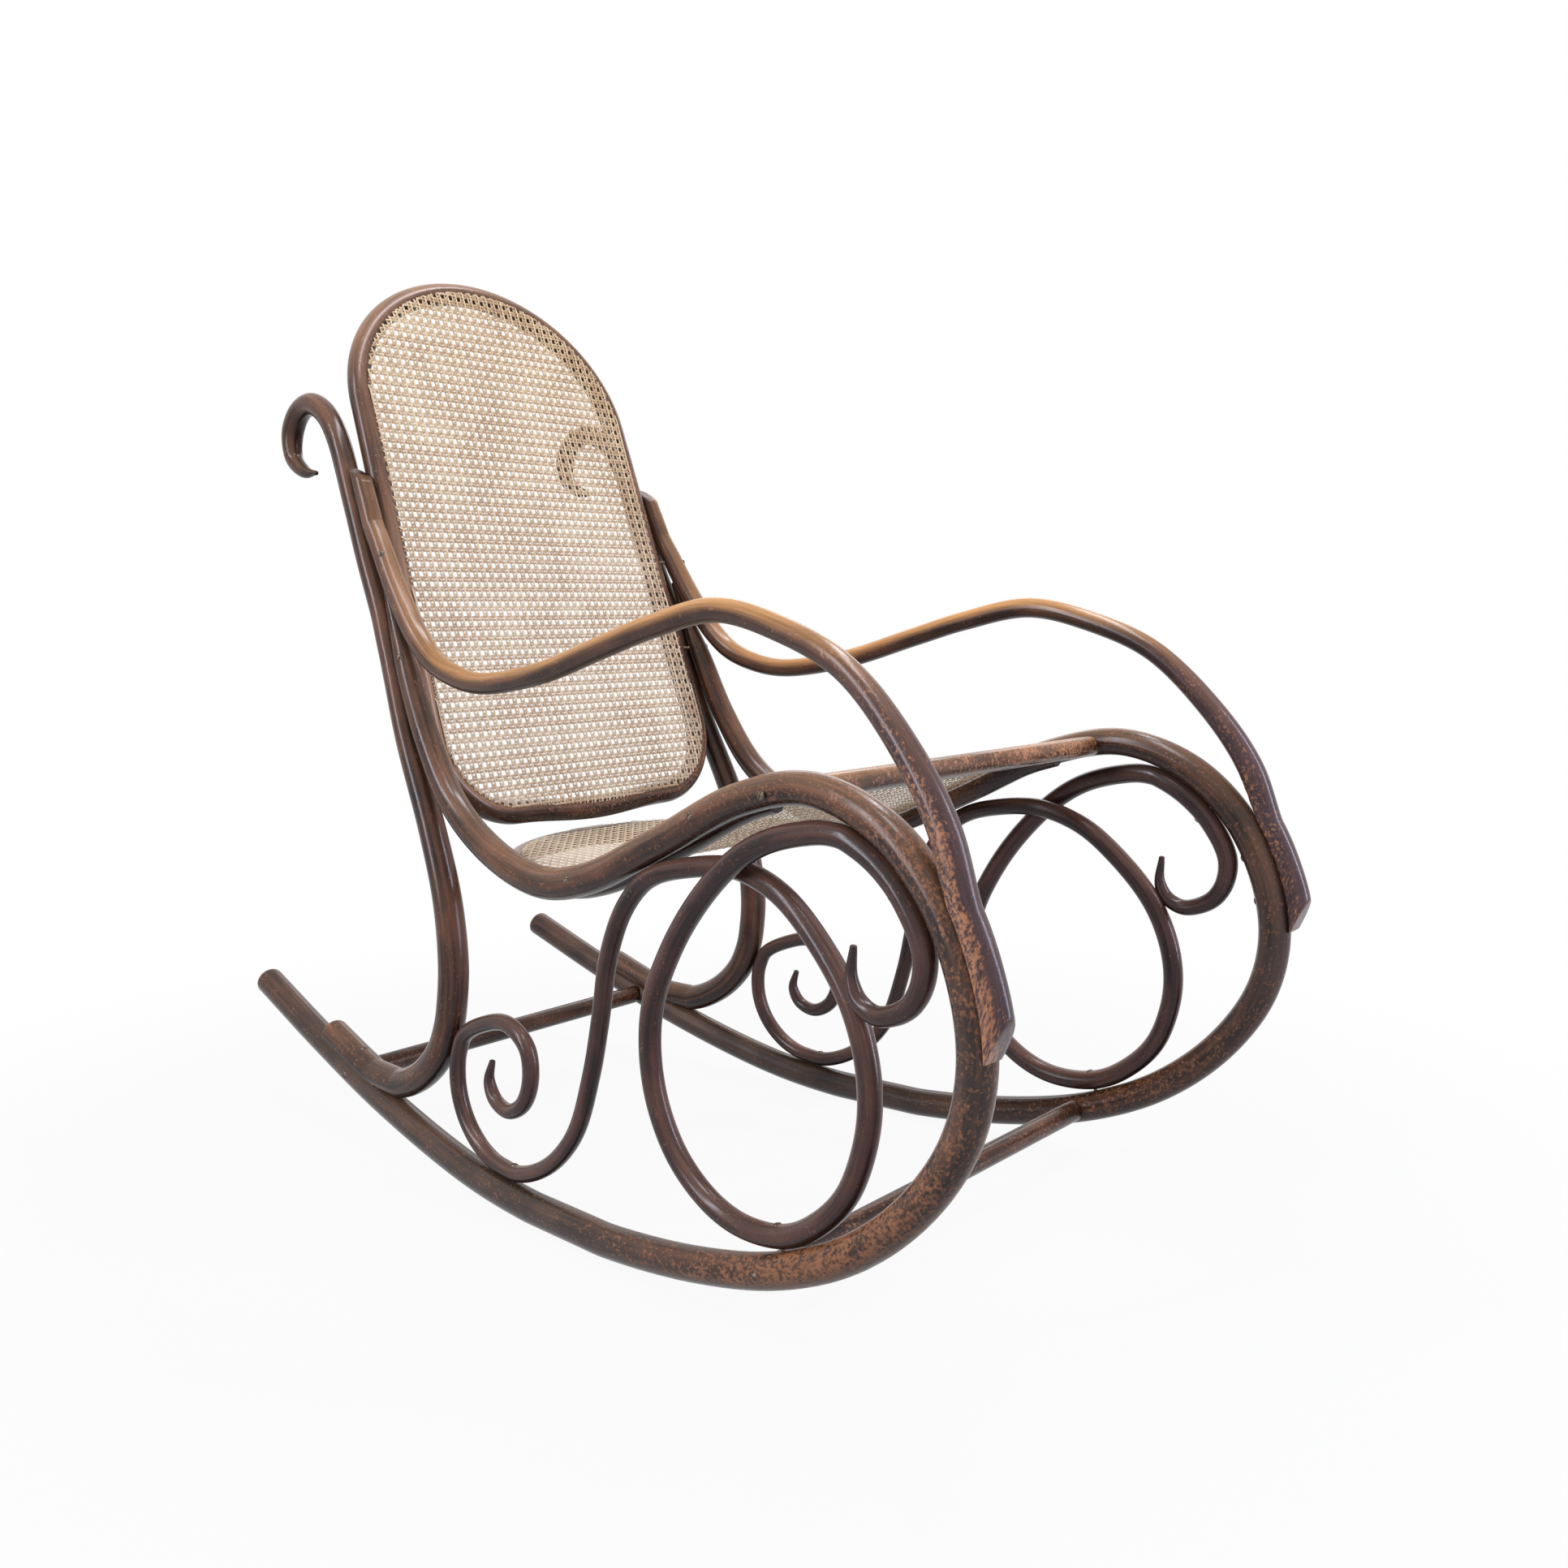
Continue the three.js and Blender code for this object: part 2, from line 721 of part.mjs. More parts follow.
function backCaneGeometry(plane, outline) {
  const loop = insetLoop(outline, hoopDiameter / 2 - backLip);
  const rise = hoopDiameter / 2 + touch + caneThickness / 2;
  return netGeometry(loop, backLip, backGap, backBar, (point) => {
    point.copy(onHoopPlane(plane, point.x, point.y, rise + point.z));
  });
}

// Heights and widths of the runner loop at a distance along the chair: beside the seat, and along the floor

function between(line, x, value) {
  const next = line.findIndex((point, i) => i > 0 && (line[i - 1].x - x) * (point.x - x) <= 0);
  const near = next > 0 ? next : nearestOn(line, new THREE.Vector3(x, 0, line[0].z)).index;
  const share = THREE.MathUtils.clamp((x - line[near - 1].x) / (line[near].x - line[near - 1].x), 0, 1);
  return THREE.MathUtils.lerp(value(near - 1), value(near), share);
}

function seatSide(runner) {
  const from = nearestOn(runner.line, placed([frontShares[9]])[0]).index;
  const to = nearestOn(runner.line, placed([seatSideShares[3]])[0]).index;
  const line = runner.line.slice(from, to + 1);
  return {
    height: (x) => between(line, x, (i) => line[i].z),
    radius: (x) => between(line, x, (i) => runner.radius(from + i)),
  };
}

function floorHeight(runner, x) {
  const line = runner.line.slice(0, nearestOn(runner.line, placed([frontShares[5]])[0]).index + 1);
  return between(line, x, (i) => line[i].z);
}

// The front rail's middle, and its slope, which is the slope of the seat there

function frontRailFrame(runner) {
  const side = seatSide(runner);
  const x = frontRailShare * chairLength;
  const half = frontRailDepth / 2;
  const along = new THREE.Vector3(2 * half, 0, side.height(x + half) - side.height(x - half)).normalize();
  const up = new THREE.Vector3(-along.z, 0, along.x);
  const middle = new THREE.Vector3(x, 0, side.height(x) - frontRailDrop);
  const rear = middle.clone().addScaledVector(along, -half - touch);
  return { middle, along, up, rear, runnerRadius: side.radius(x) };
}

// The seat rail follows the runner loops from the arch to the dip and then bends round behind the seat. Seen
// from above it runs anticlockwise, from its left front end to its right front end.

function seatRailLine(runner, rail) {
  const side = seatSide(runner);
  const turnX = seatTurnShare * chairLength;
  const rearX = seatRearShare * chairLength;
  const height = (x) => side.height(x) - seatRailDrop;
  const out = (x) => frameReach(x, height(x)) - side.radius(x) - bentTouch - seatRailDiameter / 2;
  const straight = Array.from({ length: seatSideSteps + 1 }, (_, i) => {
    const x = THREE.MathUtils.lerp(rail.rear.x, turnX, i / seatSideSteps);
    return new THREE.Vector3(x, out(x), height(x));
  });
  const bend = Array.from({ length: seatBendSteps }, (_, i) => {
    const turn = ((i + 1) / seatBendSteps) * (Math.PI / 2);
    const x = turnX - (turnX - rearX) * Math.sin(turn);
    return new THREE.Vector3(x, out(turnX) * Math.cos(turn), height(turnX));
  });
  const left = [...straight, ...bend];
  const right = left.slice(0, -1).reverse().map(({ x, y, z }) => new THREE.Vector3(x, -y, z));
  return [...left, ...right];
}

// Both ends of the seat rail are cut to the slope of the front rail

function seatRailGeometry(line, rail) {
  const along = directions(line);
  const radius = seatRailDiameter / 2;
  const rings = line.map((centre, i) => rodRing(centre, along[i], upwards, radius, -radius, radius));
  for (const end of [0, line.length - 1]) {
    rings[end] = rings[end].map((point) => {
      const reach = rail.rear.clone().sub(point).dot(rail.along) / along[end].dot(rail.along);
      return point.clone().addScaledVector(along[end], reach);
    });
  }
  return sweep(rings);
}

function seatCaneGeometry(runner, line, rail) {
  const side = seatSide(runner);
  const turnX = seatTurnShare * chairLength;
  const inset = seatRailDiameter / 2 - seatLip;
  const rise = seatRailDiameter / 2 + bentTouch + caneThickness / 2 - seatRailDrop;
  const front = rail.rear.x - (rise + frontRailDrop + caneThickness) * (rail.along.z / rail.along.x);
  const along = directions(line);
  const loop = line.map(({ x, y }, i) => {
    const flat = new THREE.Vector2(along[i].x, along[i].y).normalize();
    return new THREE.Vector2(Math.min(x - flat.y * inset, front), y + flat.x * inset);
  });
  return netGeometry(loop, seatLip, seatGap, seatBar, (point) => {
    point.z += side.height(Math.max(point.x, turnX)) + rise;
  });
}

// A bar across the chair that ends flat against the inner side of both runner loops

function crossBar(section, runnerRadius) {
  const rings = [-1, 1].map((side) => section.map(({ x, z }) => (
    new THREE.Vector3(x, side * (frameReach(x, z) - runnerRadius - touch), z)
  )));
  return sweep(rings);
}

function frontRailGeometry({ middle, along, up, runnerRadius }) {
  const halfDepth = frontRailDepth / 2;
  const halfHeight = frontRailHeight / 2;
  const section = [[1, 1], [-1, 1], [-1, -1], [1, -1]].flatMap(([x, z]) => {
    const onSide = [x * halfDepth, z * (halfHeight - frontRailCorner)];
    const onTop = [x * (halfDepth - frontRailCorner), z * halfHeight];
    return x * z > 0 ? [onSide, onTop] : [onTop, onSide];
  });
  const points = section.map(([x, z]) => middle.clone().addScaledVector(along, x).addScaledVector(up, z));
  return crossBar(points.reverse(), runnerRadius);
}

function stretcherMiddle(runner, share) {
  const x = share * chairLength;
  return new THREE.Vector3(x, 0, floorHeight(runner, x));
}

function stretcherGeometry(middle) {
  const corner = stretcherDiameter / 2 / Math.cos(Math.PI / rodSides);
  const section = Array.from({ length: rodSides }, (_, j) => {
    const angle = -((j + 0.5) / rodSides) * 2 * Math.PI;
    return middle.clone().add(new THREE.Vector3(corner * Math.cos(angle), 0, corner * Math.sin(angle)));
  });
  return crossBar(section, runnerDiameter / 2);
}

// Wood screws. A screw runs from the rod that carries its head, through what lies between, into the last rod.
// Its head sits in a round recess and its shank in a drilled hole.

function screwPlan(from, to, carrierRadius, lastRadius) {
  const direction = to.clone().sub(from).normalize();
  const floor = from.clone().addScaledVector(direction, screwSink - carrierRadius);
  const tip = to.clone().addScaledVector(direction, screwBite - lastRadius);
  return { direction, floor, tip };
}

function alongAxis(geometry, from, direction) {
  const turn = new THREE.Quaternion().setFromUnitVectors(acrossChair, direction);
  geometry.applyQuaternion(turn);
  geometry.translate(from.x, from.y, from.z);
  return geometry;
}

function screwGeometry({ direction, floor, tip }) {
  const radius = screwDiameter / 2;
  const head = screwHeadDiameter / 2;
  const length = floor.distanceTo(tip) + touch;
  const profile = [
    [0, 0], [radius, screwTip], [radius, length], [head, length],
    [head * screwHeadFlatShare, length + screwHeadHeight], [0, length + screwHeadHeight],
  ];
  const geometry = new THREE.LatheGeometry(profile.map(([x, y]) => new THREE.Vector2(x, y)), screwSides);
  return alongAxis(geometry, tip, direction.clone().negate());
}

function drillGeometry(radius, from, to) {
  const length = from.distanceTo(to);
  const corner = (radius + touch) / Math.cos(Math.PI / screwSides);
  const drill = new THREE.CylinderGeometry(corner, corner, length, screwSides).translate(0, length / 2, 0);
  return alongAxis(drill, from, to.clone().sub(from).normalize());
}

function shankHole({ direction, floor, tip }) {
  const from = floor.clone().addScaledVector(direction, -overrun);
  return drillGeometry(screwDiameter / 2, from, tip.clone().addScaledVector(direction, touch));
}

function headRecess({ direction, floor }) {
  return drillGeometry(screwHeadDiameter / 2, floor.clone().addScaledVector(direction, -overrun), floor);
}

// Materials

const darkWood = new THREE.MeshStandardMaterial({ name: 'dark_wood', color: 0x5b4138, roughness: 0.35 });
const wornWood = new THREE.MeshStandardMaterial({ name: 'worn_wood', color: 0x8f6044, roughness: 0.45 });
const cane = new THREE.MeshStandardMaterial({ name: 'cane', color: 0xc9b79d, roughness: 0.6 });
const steel = new THREE.MeshStandardMaterial({
  name: 'steel', color: 0x4c4640, roughness: 0.45, metalness: 1,
});

// The chair. Solids that take screws are drilled before they become meshes.

const chair = new THREE.Group();
const solids = new Map();

function add(name, geometry, material) {
  const mesh = new THREE.Mesh(geometry, material);
  mesh.name = name;
  chair.add(mesh);
}

function addDrilled(name, geometry, material) {
  solids.set(name, { solid: toSolid(geometry), material });
}

function addScrew(name, plan, carrier, others) {
  const hole = toSolid(shankHole(plan));
  for (const drilled of [carrier, ...others]) {
    const entry = solids.get(drilled);
    entry.solid = entry.solid.subtract(hole);
  }
  const entry = solids.get(carrier);
  entry.solid = entry.solid.subtract(toSolid(headRecess(plan)));
  add(name, screwGeometry(plan), steel);
}

const runner = makeRunner();
const post = makePost(runner);
const arm = makeArm(runner, post);
const scroll = makeScroll(runner, post);
const outwards = { arm: armSteps(arm), scroll: sideSteps(scroll) };
const rolling = runner.line.map((point, i) => i).filter((i) => runner.line[i].z <= runnerDiameter / 2);
const rollPlaces = rollRingShares.map((share) => rolling[Math.round(share * (rolling.length - 1))]);
const plane = hoopPlane(runner, arm);
const outline = hoopOutline(plane);
const frontRail = frontRailFrame(runner);
const seatRail = seatRailLine(runner, frontRail);
const stretchers = {
  front_stretcher: stretcherMiddle(runner, frontStretcherShare),
  rear_stretcher: stretcherMiddle(runner, rearStretcherShare),
};

addDrilled('back_hoop', hoopGeometry(plane, outline), darkWood);
addDrilled('seat_rail', seatRailGeometry(seatRail, frontRail), darkWood);
addDrilled('front_rail', frontRailGeometry(frontRail), wornWood);
for (const [name, middle] of Object.entries(stretchers)) {
  addDrilled(name, stretcherGeometry(middle), darkWood);
}

// A screw in the side frame, from a rod to the nearest place on another

function frameScrew(name, side, [carrierName, carrier, share], [lastName, last], between = []) {
  const [place] = placed([share]);
  const start = nearestOn(carrier.line, place);
  const end = nearestOn(last.line, start.point);
  const out = (rodName, index) => (outwards[rodName] ? outwards[rodName](index) : 0);
  const plan = screwPlan(
    toSpace(start.point, side, out(carrierName, start.index)),
    toSpace(end.point, side, out(lastName, end.index)),
    carrier.radius(start.index),
    last.radius(end.index),
  );
  const sideName = side < 0 ? 'right' : 'left';
  const node = (rodName) => `${nodeNames[rodName]}_${sideName}`;
  addScrew(`${name}_${sideName}`, plan, node(carrierName), [lastName, ...between].map(node));
}

const nodeNames = { runner: 'runner_loop', post: 'rear_post', arm: 'arm', scroll: 'scroll_loop' };

for (const [sideName, side] of [['right', -1], ['left', 1]]) {
  addDrilled(`runner_loop_${sideName}`, frameRod(runner, side, { kept: rollPlaces }), darkWood);
  addDrilled(`rear_post_${sideName}`, frameRod(post, side), darkWood);
  addDrilled(`arm_${sideName}`, frameRod(arm, side, {
    lap: -1, outward: outwards.arm, startSlope: armTopBevelShare, endSlope: -armFrontBevelShare,
  }), wornWood);
  addDrilled(`scroll_loop_${sideName}`, frameRod(scroll, side, { outward: outwards.scroll }), darkWood);

  frameScrew('post_screw', side, ['post', post, postScrewShares], ['runner', runner]);
  frameScrew('arm_top_screw', side, ['post', post, armTopScrewShares], ['arm', arm]);
  frameScrew('foot_screw', side, ['post', post, footScrewShares], ['runner', runner]);
  frameScrew('arm_front_lower_screw', side, ['runner', runner, armFrontScrewShares[0]], ['arm', arm]);
  frameScrew('arm_front_upper_screw', side, ['runner', runner, armFrontScrewShares[1]], ['arm', arm]);
  frameScrew('arch_screw', side, ['scroll', scroll, archScrewShares], ['runner', runner]);
  frameScrew('scroll_screw', side, ['scroll', scroll, scrollScrewShares], ['runner', runner]);
  frameScrew('rear_curl_screw', side, ['scroll', scroll, rearCurlScrewShares], ['runner', runner]);

  for (const [name, rodName, rod, share] of [
    ['hoop_lower_screw', 'runner_loop', runner, hoopScrewShares[0]],
    ['hoop_upper_screw', 'arm', arm, hoopScrewShares[1]],
  ]) {
    const up = plane.upAt(share);
    const onHoop = onHoopPlane(plane, side * plane.halfWidth(up), up);
    const { point, radius } = pointAtHeight(rod, onHoop.z);
    const plan = screwPlan(toSpace(point, side), onHoop, radius, hoopDiameter / 2);
    addScrew(`${name}_${sideName}`, plan, `${rodName}_${sideName}`, ['back_hoop']);
  }

  const seatSides = seatSide(runner);
  for (const [i, name] of ['seat_rear_screw', 'seat_front_screw'].entries()) {
    const x = seatScrewShares[i] * chairLength;
    const out = between(seatRail, x, (i) => seatRail[i].y);
    const onRail = new THREE.Vector3(x, side * out, seatSides.height(x) - seatRailDrop);
    const onRunner = toSpace(new THREE.Vector3(x, 0, seatSides.height(x)), side);
    const plan = screwPlan(onRunner, onRail, seatSides.radius(x), seatRailDiameter / 2);
    addScrew(`${name}_${sideName}`, plan, `runner_loop_${sideName}`, ['seat_rail']);
  }

  for (const [name, { x, z }] of Object.entries({ front_rail: frontRail.middle, ...stretchers })) {
    const onRunner = toSpace(new THREE.Vector3(x, 0, z), side);
    const end = onRunner.clone().addScaledVector(acrossChair, -side * runnerDiameter);
    const plan = screwPlan(onRunner, end, runnerDiameter / 2, runnerDiameter / 2);
    addScrew(`${name}_screw_${sideName}`, plan, `runner_loop_${sideName}`, [name]);
  }
}

for (const [name, { solid, material }] of solids) {
  add(name, toGeometry(solid), material);
}
add('back_cane', backCaneGeometry(plane, outline), cane);
add('seat_cane', seatCaneGeometry(runner, seatRail, frontRail), cane);

// The origin goes under the middle of the outline

const middle = new THREE.Box3().setFromObject(chair).getCenter(new THREE.Vector3());
chair.children.forEach((mesh) => mesh.geometry.translate(-middle.x, 0, 0));

export default chair;
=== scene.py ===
# %% [markdown]
# # A bentwood rocking chair, finished piece by piece
#
# The chair is made of beech rods that were steamed, bent and screwed together, with a woven cane back and
# seat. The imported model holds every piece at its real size. This lesson dresses each of them: it sweeps
# smooth rods along the same routes, weaves the cane strand by strand and gives every surface its varnish,
# wear or gloss.

import bpy
import numpy as np
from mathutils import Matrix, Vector


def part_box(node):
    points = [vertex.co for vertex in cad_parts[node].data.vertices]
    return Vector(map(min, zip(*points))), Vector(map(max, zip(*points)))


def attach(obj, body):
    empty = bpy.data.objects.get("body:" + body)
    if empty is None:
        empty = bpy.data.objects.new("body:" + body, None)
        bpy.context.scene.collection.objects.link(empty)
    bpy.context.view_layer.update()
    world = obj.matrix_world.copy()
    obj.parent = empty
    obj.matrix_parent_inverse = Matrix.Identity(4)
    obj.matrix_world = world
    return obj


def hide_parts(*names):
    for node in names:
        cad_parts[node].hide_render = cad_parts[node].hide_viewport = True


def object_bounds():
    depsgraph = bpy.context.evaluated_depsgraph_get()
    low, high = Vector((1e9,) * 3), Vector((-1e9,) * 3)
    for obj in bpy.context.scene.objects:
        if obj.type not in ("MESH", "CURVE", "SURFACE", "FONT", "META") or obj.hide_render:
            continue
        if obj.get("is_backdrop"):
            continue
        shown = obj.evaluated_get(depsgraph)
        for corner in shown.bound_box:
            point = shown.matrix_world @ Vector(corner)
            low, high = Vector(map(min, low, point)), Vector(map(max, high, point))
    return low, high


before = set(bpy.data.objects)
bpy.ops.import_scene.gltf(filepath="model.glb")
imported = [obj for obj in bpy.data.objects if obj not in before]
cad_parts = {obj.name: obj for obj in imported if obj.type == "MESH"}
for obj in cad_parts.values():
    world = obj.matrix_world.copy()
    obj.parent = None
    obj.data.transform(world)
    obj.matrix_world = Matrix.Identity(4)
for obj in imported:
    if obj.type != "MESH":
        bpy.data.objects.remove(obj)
cad_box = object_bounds()
print("nodes in the frame:", len(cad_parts))

# %% [markdown]
# ## Camera
#
# The camera comes first. Its lens and place were worked out from the photograph: the frames of the chair
# show its viewing angle, and the size of the chair shows how far away it stands.

# %% Camera
LENS = 34.472
SENSOR = 36
CAMERA_PLACE = (1.0583, -1.1516, 0.5959)
CAMERA_AZIMUTH = 39.88
CAMERA_PITCH = 6.96

camera_data = bpy.data.cameras.new("camera")
camera_data.lens = LENS
camera_data.sensor_width = SENSOR
camera = bpy.data.objects.new("camera", camera_data)
camera.location = CAMERA_PLACE
camera.rotation_euler = np.radians([90 - CAMERA_PITCH, 0, CAMERA_AZIMUTH])
bpy.context.scene.collection.objects.link(camera)
bpy.context.scene.camera = camera
print("camera looks", CAMERA_PITCH, "degrees down")

# %% [markdown]
# ## Sizes
#
# All shapes are worked out in millimetres, with X to the front of the chair, Y to the sitter's left and Z
# up, and become metres when they go into a mesh. Routes are tables of shares: X as a share of the chair's
# length from its middle, Z as a share of its height from the floor.

# %% Sizes in millimetres
MM = 0.001
CHAIR = np.array([1074.0, 960.0])
FRAME_SPACING = 487
TOE_IN = 0.062
LEAN_IN = 0.0202
TOUCH = 0.3
BENT_TOUCH = 0.75
RUNNER, ARCH, UPRIGHT, UPRIGHT_TIP = 31, 28, 25, 4
POST, POST_TOP, POST_NECK, POST_TIP, FOOT_LAP = 31, 24, 15, 4, 13
ARM, ARM_BEND, ARM_TOP, ARM_FRONT, ARM_LAP, ARM_FRONT_OFFSET = 21, 25, 21, 27, 9, 5.5
SCROLL, S_BEND, REAR_CURL, FRONT_CURL, CURL_NECK, CURL_TIP = 20, 17.5, 16.5, 16, 13, 4
HOOP, SEAT_RAIL, STRETCHER = 25, 22, 22
FRONT_RAIL_HEIGHT, FRONT_RAIL_DEPTH, FRONT_RAIL_DROP = 21, 42, 3
SPLINE_STEPS = 600

# Places of the cross bars as shares of the chair's length.
FRONT_RAIL_SHARE = 0.277
FRONT_STRETCHER_SHARE = 0.2765
REAR_STRETCHER_SHARE = -0.31

rail_low, rail_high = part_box("front_rail")
SHIFT = (rail_low.x + rail_high.x) / 2 / MM - FRONT_RAIL_SHARE * CHAIR[0]
print("the frame's origin lies", round(SHIFT, 2), "mm from the middle of the routes")

# %% [markdown]
# ## Curves
#
# A bent rod has no corners, so its route is a spline through a few listed points. The centripetal
# Catmull-Rom spline passes through every point and never overshoots where points lie close together, as
# they do in the curls.

# %% Curves
def placed(shares):
    """Points in the side view: each share times the chair's length and height."""
    return np.atleast_2d(shares) * CHAIR


def smooth(points, steps=SPLINE_STEPS):
    """Centripetal Catmull-Rom spline. Between two points it is the cubic whose slopes there come from the
    differences to the neighbours, each divided by the square root of its length."""
    padded = np.vstack([2 * points[0] - points[1], points, 2 * points[-1] - points[-2]])
    at = np.linspace(0, len(points) - 1, steps + 1)
    span = np.minimum(at.astype(int), len(points) - 2)
    t = (at - span)[:, None]
    a, b, c, d = (padded[span + k] for k in range(4))
    chords = (b - a, c - b, d - c)
    before, here, after = (np.sqrt(np.linalg.norm(chord, axis=1))[:, None] for chord in chords)
    leave = ((b - a) / before - (c - a) / (before + here) + (c - b) / here) * here
    arrive = ((c - b) / here - (d - b) / (here + after) + (d - c) / after) * here
    cubic = 2 * b - 2 * c + leave + arrive
    square = 3 * c - 3 * b - 2 * leave - arrive
    return b + leave * t + square * t**2 + cubic * t**3


def lengths_along(line):
    """Running length: the sum of the steps before each point."""
    return np.concatenate([[0], np.cumsum(np.linalg.norm(np.diff(line, axis=0), axis=1))])


def nearest(line, points):
    """For each point the nearest place on a line: its foot on every segment, kept inside the segment, and
    then the closest of these. Returns the places, the index of each segment's end and the distances."""
    start, step = line[:-1], np.diff(line, axis=0)
    offset = points[:, None] - start
    share = np.clip((offset * step).sum(2) / (step**2).sum(1), 0, 1)
    feet = start + share[..., None] * step
    distance = np.linalg.norm(points[:, None] - feet, axis=2)
    best = distance.argmin(1)
    rows = np.arange(len(points))
    return feet[rows, best], best + 1, distance[rows, best]


def smoothstep(value, low, high):
    """0 below low, 1 above high, and 3s^2 - 2s^3 between."""
    s = np.clip((value - low) / (high - low), 0, 1)
    return s * s * (3 - 2 * s)


FAIR_PASSES = 12
FAIR_WEIGHTS = (0.5, -0.52)


def fair(line, closed=False):
    """Evens out small kinks. Each pass moves the points towards the middle of their neighbours and then a
    little further back, so that the curve keeps its size."""
    line = line.copy()
    for weight in FAIR_WEIGHTS * FAIR_PASSES:
        middle = (np.roll(line, 1, 0) + np.roll(line, -1, 0)) / 2 - line
        if not closed:
            middle[[0, -1]] = 0
        line += weight * middle
    return line


# %% [markdown]
# ## Rods of a side frame
#
# On the real chair each side frame is four rods lying against each other. The same is done here: a rod
# knows its centre line and its diameter along it, can say where a second rod touches it, and can settle
# itself against a neighbour, so that the rods touch along their bends without running into each other.

# %% Rod class
class Rod:
    """A rod in the side view: its centre line and its diameters and lap at named places along it."""

    def __init__(self, points, diameters):
        self.line = smooth(np.vstack(points))
        self.laps = [(0, 0)]
        self.measure()
        self.diameters = [(self.share_at(place), diameter) for place, diameter in diameters]

    def measure(self):
        """Running lengths, and the same as shares of the whole length."""
        self.lengths = lengths_along(self.line)
        self.length = self.lengths[-1]
        self.shares = self.lengths / self.length

    def share_at(self, place):
        """The share of the length at the point of the line nearest to a place."""
        return self.shares[nearest(self.line, placed(place))[1][0]]

    def radius(self):
        """Half the diameter, changing straight between the named places."""
        return np.interp(self.shares, *zip(*self.diameters)) / 2

    def lap(self):
        """How deep the rod is planed flat, changing straight between the named places."""
        return np.interp(self.shares, *zip(*self.laps))

    def beside(self, place, diameter, lap=0):
        """The centre of a rod of this diameter that lies against this one, on the side of the place given."""
        point = placed(place)
        foot, index, distance = nearest(self.line, point)
        reach = self.radius()[index] + diameter / 2 - lap + BENT_TOUCH
        return foot + (point - foot) / distance * reach

    def flatten(self, start, end, depth):
        """Planes the rod flat: nothing at the start, full depth from the end place on."""
        self.laps = [(0, 0), (self.share_at(start), 0), (self.share_at(end), depth), (1, depth)]

    def settle_on(self, other):
        """Moves every point that is too near the other rod straight away from it."""
        foot, index, distance = nearest(other.line, self.line)
        reach = other.radius()[index] + self.radius() - self.lap() + BENT_TOUCH
        push = np.maximum(reach / distance - 1, 0)
        self.line = self.line + (self.line - foot) * push[:, None]
        self.measure()


# %% [markdown]
# The runner loop is the longest rod: tail, floor, front, arch, seat side and upright in one bend. The post,
# the arm and the scroll loop are then laid against it.

# %% Routes of the rods
TAIL = [[-0.486, 0.155], [-0.376, 0.109], [-0.254, 0.064], [-0.111, 0.0268]]
ROLL = [-0.015, 0.085]
FRONT = [
    [0.2, 0.0318], [0.29, 0.0581], [0.362, 0.098], [0.42, 0.155], [0.456, 0.218],
    [0.467, 0.278], [0.458, 0.338], [0.431, 0.398], [0.384, 0.446], [0.317, 0.47],
]
SEAT_SIDE = [
    [0.243, 0.455], [0.153, 0.407], [0.062, 0.361], [0, 0.349], [-0.069, 0.368], [-0.13, 0.411],
    [-0.172, 0.475],
]
UPRIGHT_ROUTE = [[-0.205, 0.55], [-0.2255, 0.598], [-0.2445, 0.643]]
POST_SCROLL = [
    [-0.366, 0.764], [-0.389, 0.767], [-0.41, 0.784], [-0.412, 0.811], [-0.398, 0.833],
    [-0.374, 0.841], [-0.346, 0.828], [-0.324, 0.8],
]
POST_UPPER = [[-0.2945, 0.726], [-0.2715, 0.664]]
POST_BESIDE_UPRIGHT = [[-0.248, 0.6017], [-0.2305, 0.55]]
POST_BEND = [
    [-0.206, 0.475], [-0.166, 0.379], [-0.143, 0.308], [-0.1345, 0.243], [-0.137, 0.202], [-0.1425, 0.174],
    [-0.157, 0.142], [-0.188, 0.11],
]
FOOT = [[-0.228, 0.091], [-0.274, 0.086], [-0.317, 0.101], [-0.352, 0.117]]
ARM_BESIDE_POST = [[-0.2765, 0.7593], [-0.2635, 0.7079]]
ARM_ROUTE = [
    [-0.2475, 0.6778], [-0.2343, 0.6535], [-0.2198, 0.6286], [-0.2035, 0.604], [-0.1855, 0.5803],
    [-0.163, 0.5595], [-0.134, 0.546], [-0.09, 0.538], [-0.003, 0.551], [0.083, 0.579], [0.142, 0.598],
    [0.215, 0.613], [0.282, 0.598], [0.345, 0.568], [0.402, 0.509], [0.438, 0.452],
]
ARM_BESIDE_RUNNER = [[0.462, 0.396], [0.479, 0.351], [0.487, 0.295]]
FRONT_CURL_ROUTE = [
    [0.3575, 0.349], [0.356, 0.323], [0.3625, 0.307], [0.378, 0.298], [0.394, 0.301], [0.41, 0.312],
    [0.42, 0.332], [0.4205, 0.358],
]
UNDER_ARCH = [0.4, 0.402]
SCROLL_DOWN = [
    [0.367, 0.428], [0.34, 0.437], [0.31, 0.434], [0.272, 0.421], [0.238, 0.397], [0.2, 0.354],
    [0.172, 0.309], [0.153, 0.263], [0.148, 0.217], [0.156, 0.169], [0.178, 0.1265], [0.213, 0.0965],
    [0.25, 0.0845],
]
SCROLL_ON_RUNNER = [0.292, 0.1]
SCROLL_UP = [
    [0.33, 0.113], [0.355, 0.144], [0.369, 0.184], [0.373, 0.221], [0.367, 0.262], [0.35, 0.303],
    [0.317, 0.345], [0.279, 0.377], [0.235, 0.392], [0.19, 0.389],
]
UNDER_SEAT = [0.142, 0.37]
S_BEND_ROUTE = [[0.11, 0.34], [0.09, 0.291], [0.08, 0.232], [0.068, 0.174], [0.045, 0.108], [0.006, 0.064]]
CURL_ON_RUNNER = [-0.042, 0.043]
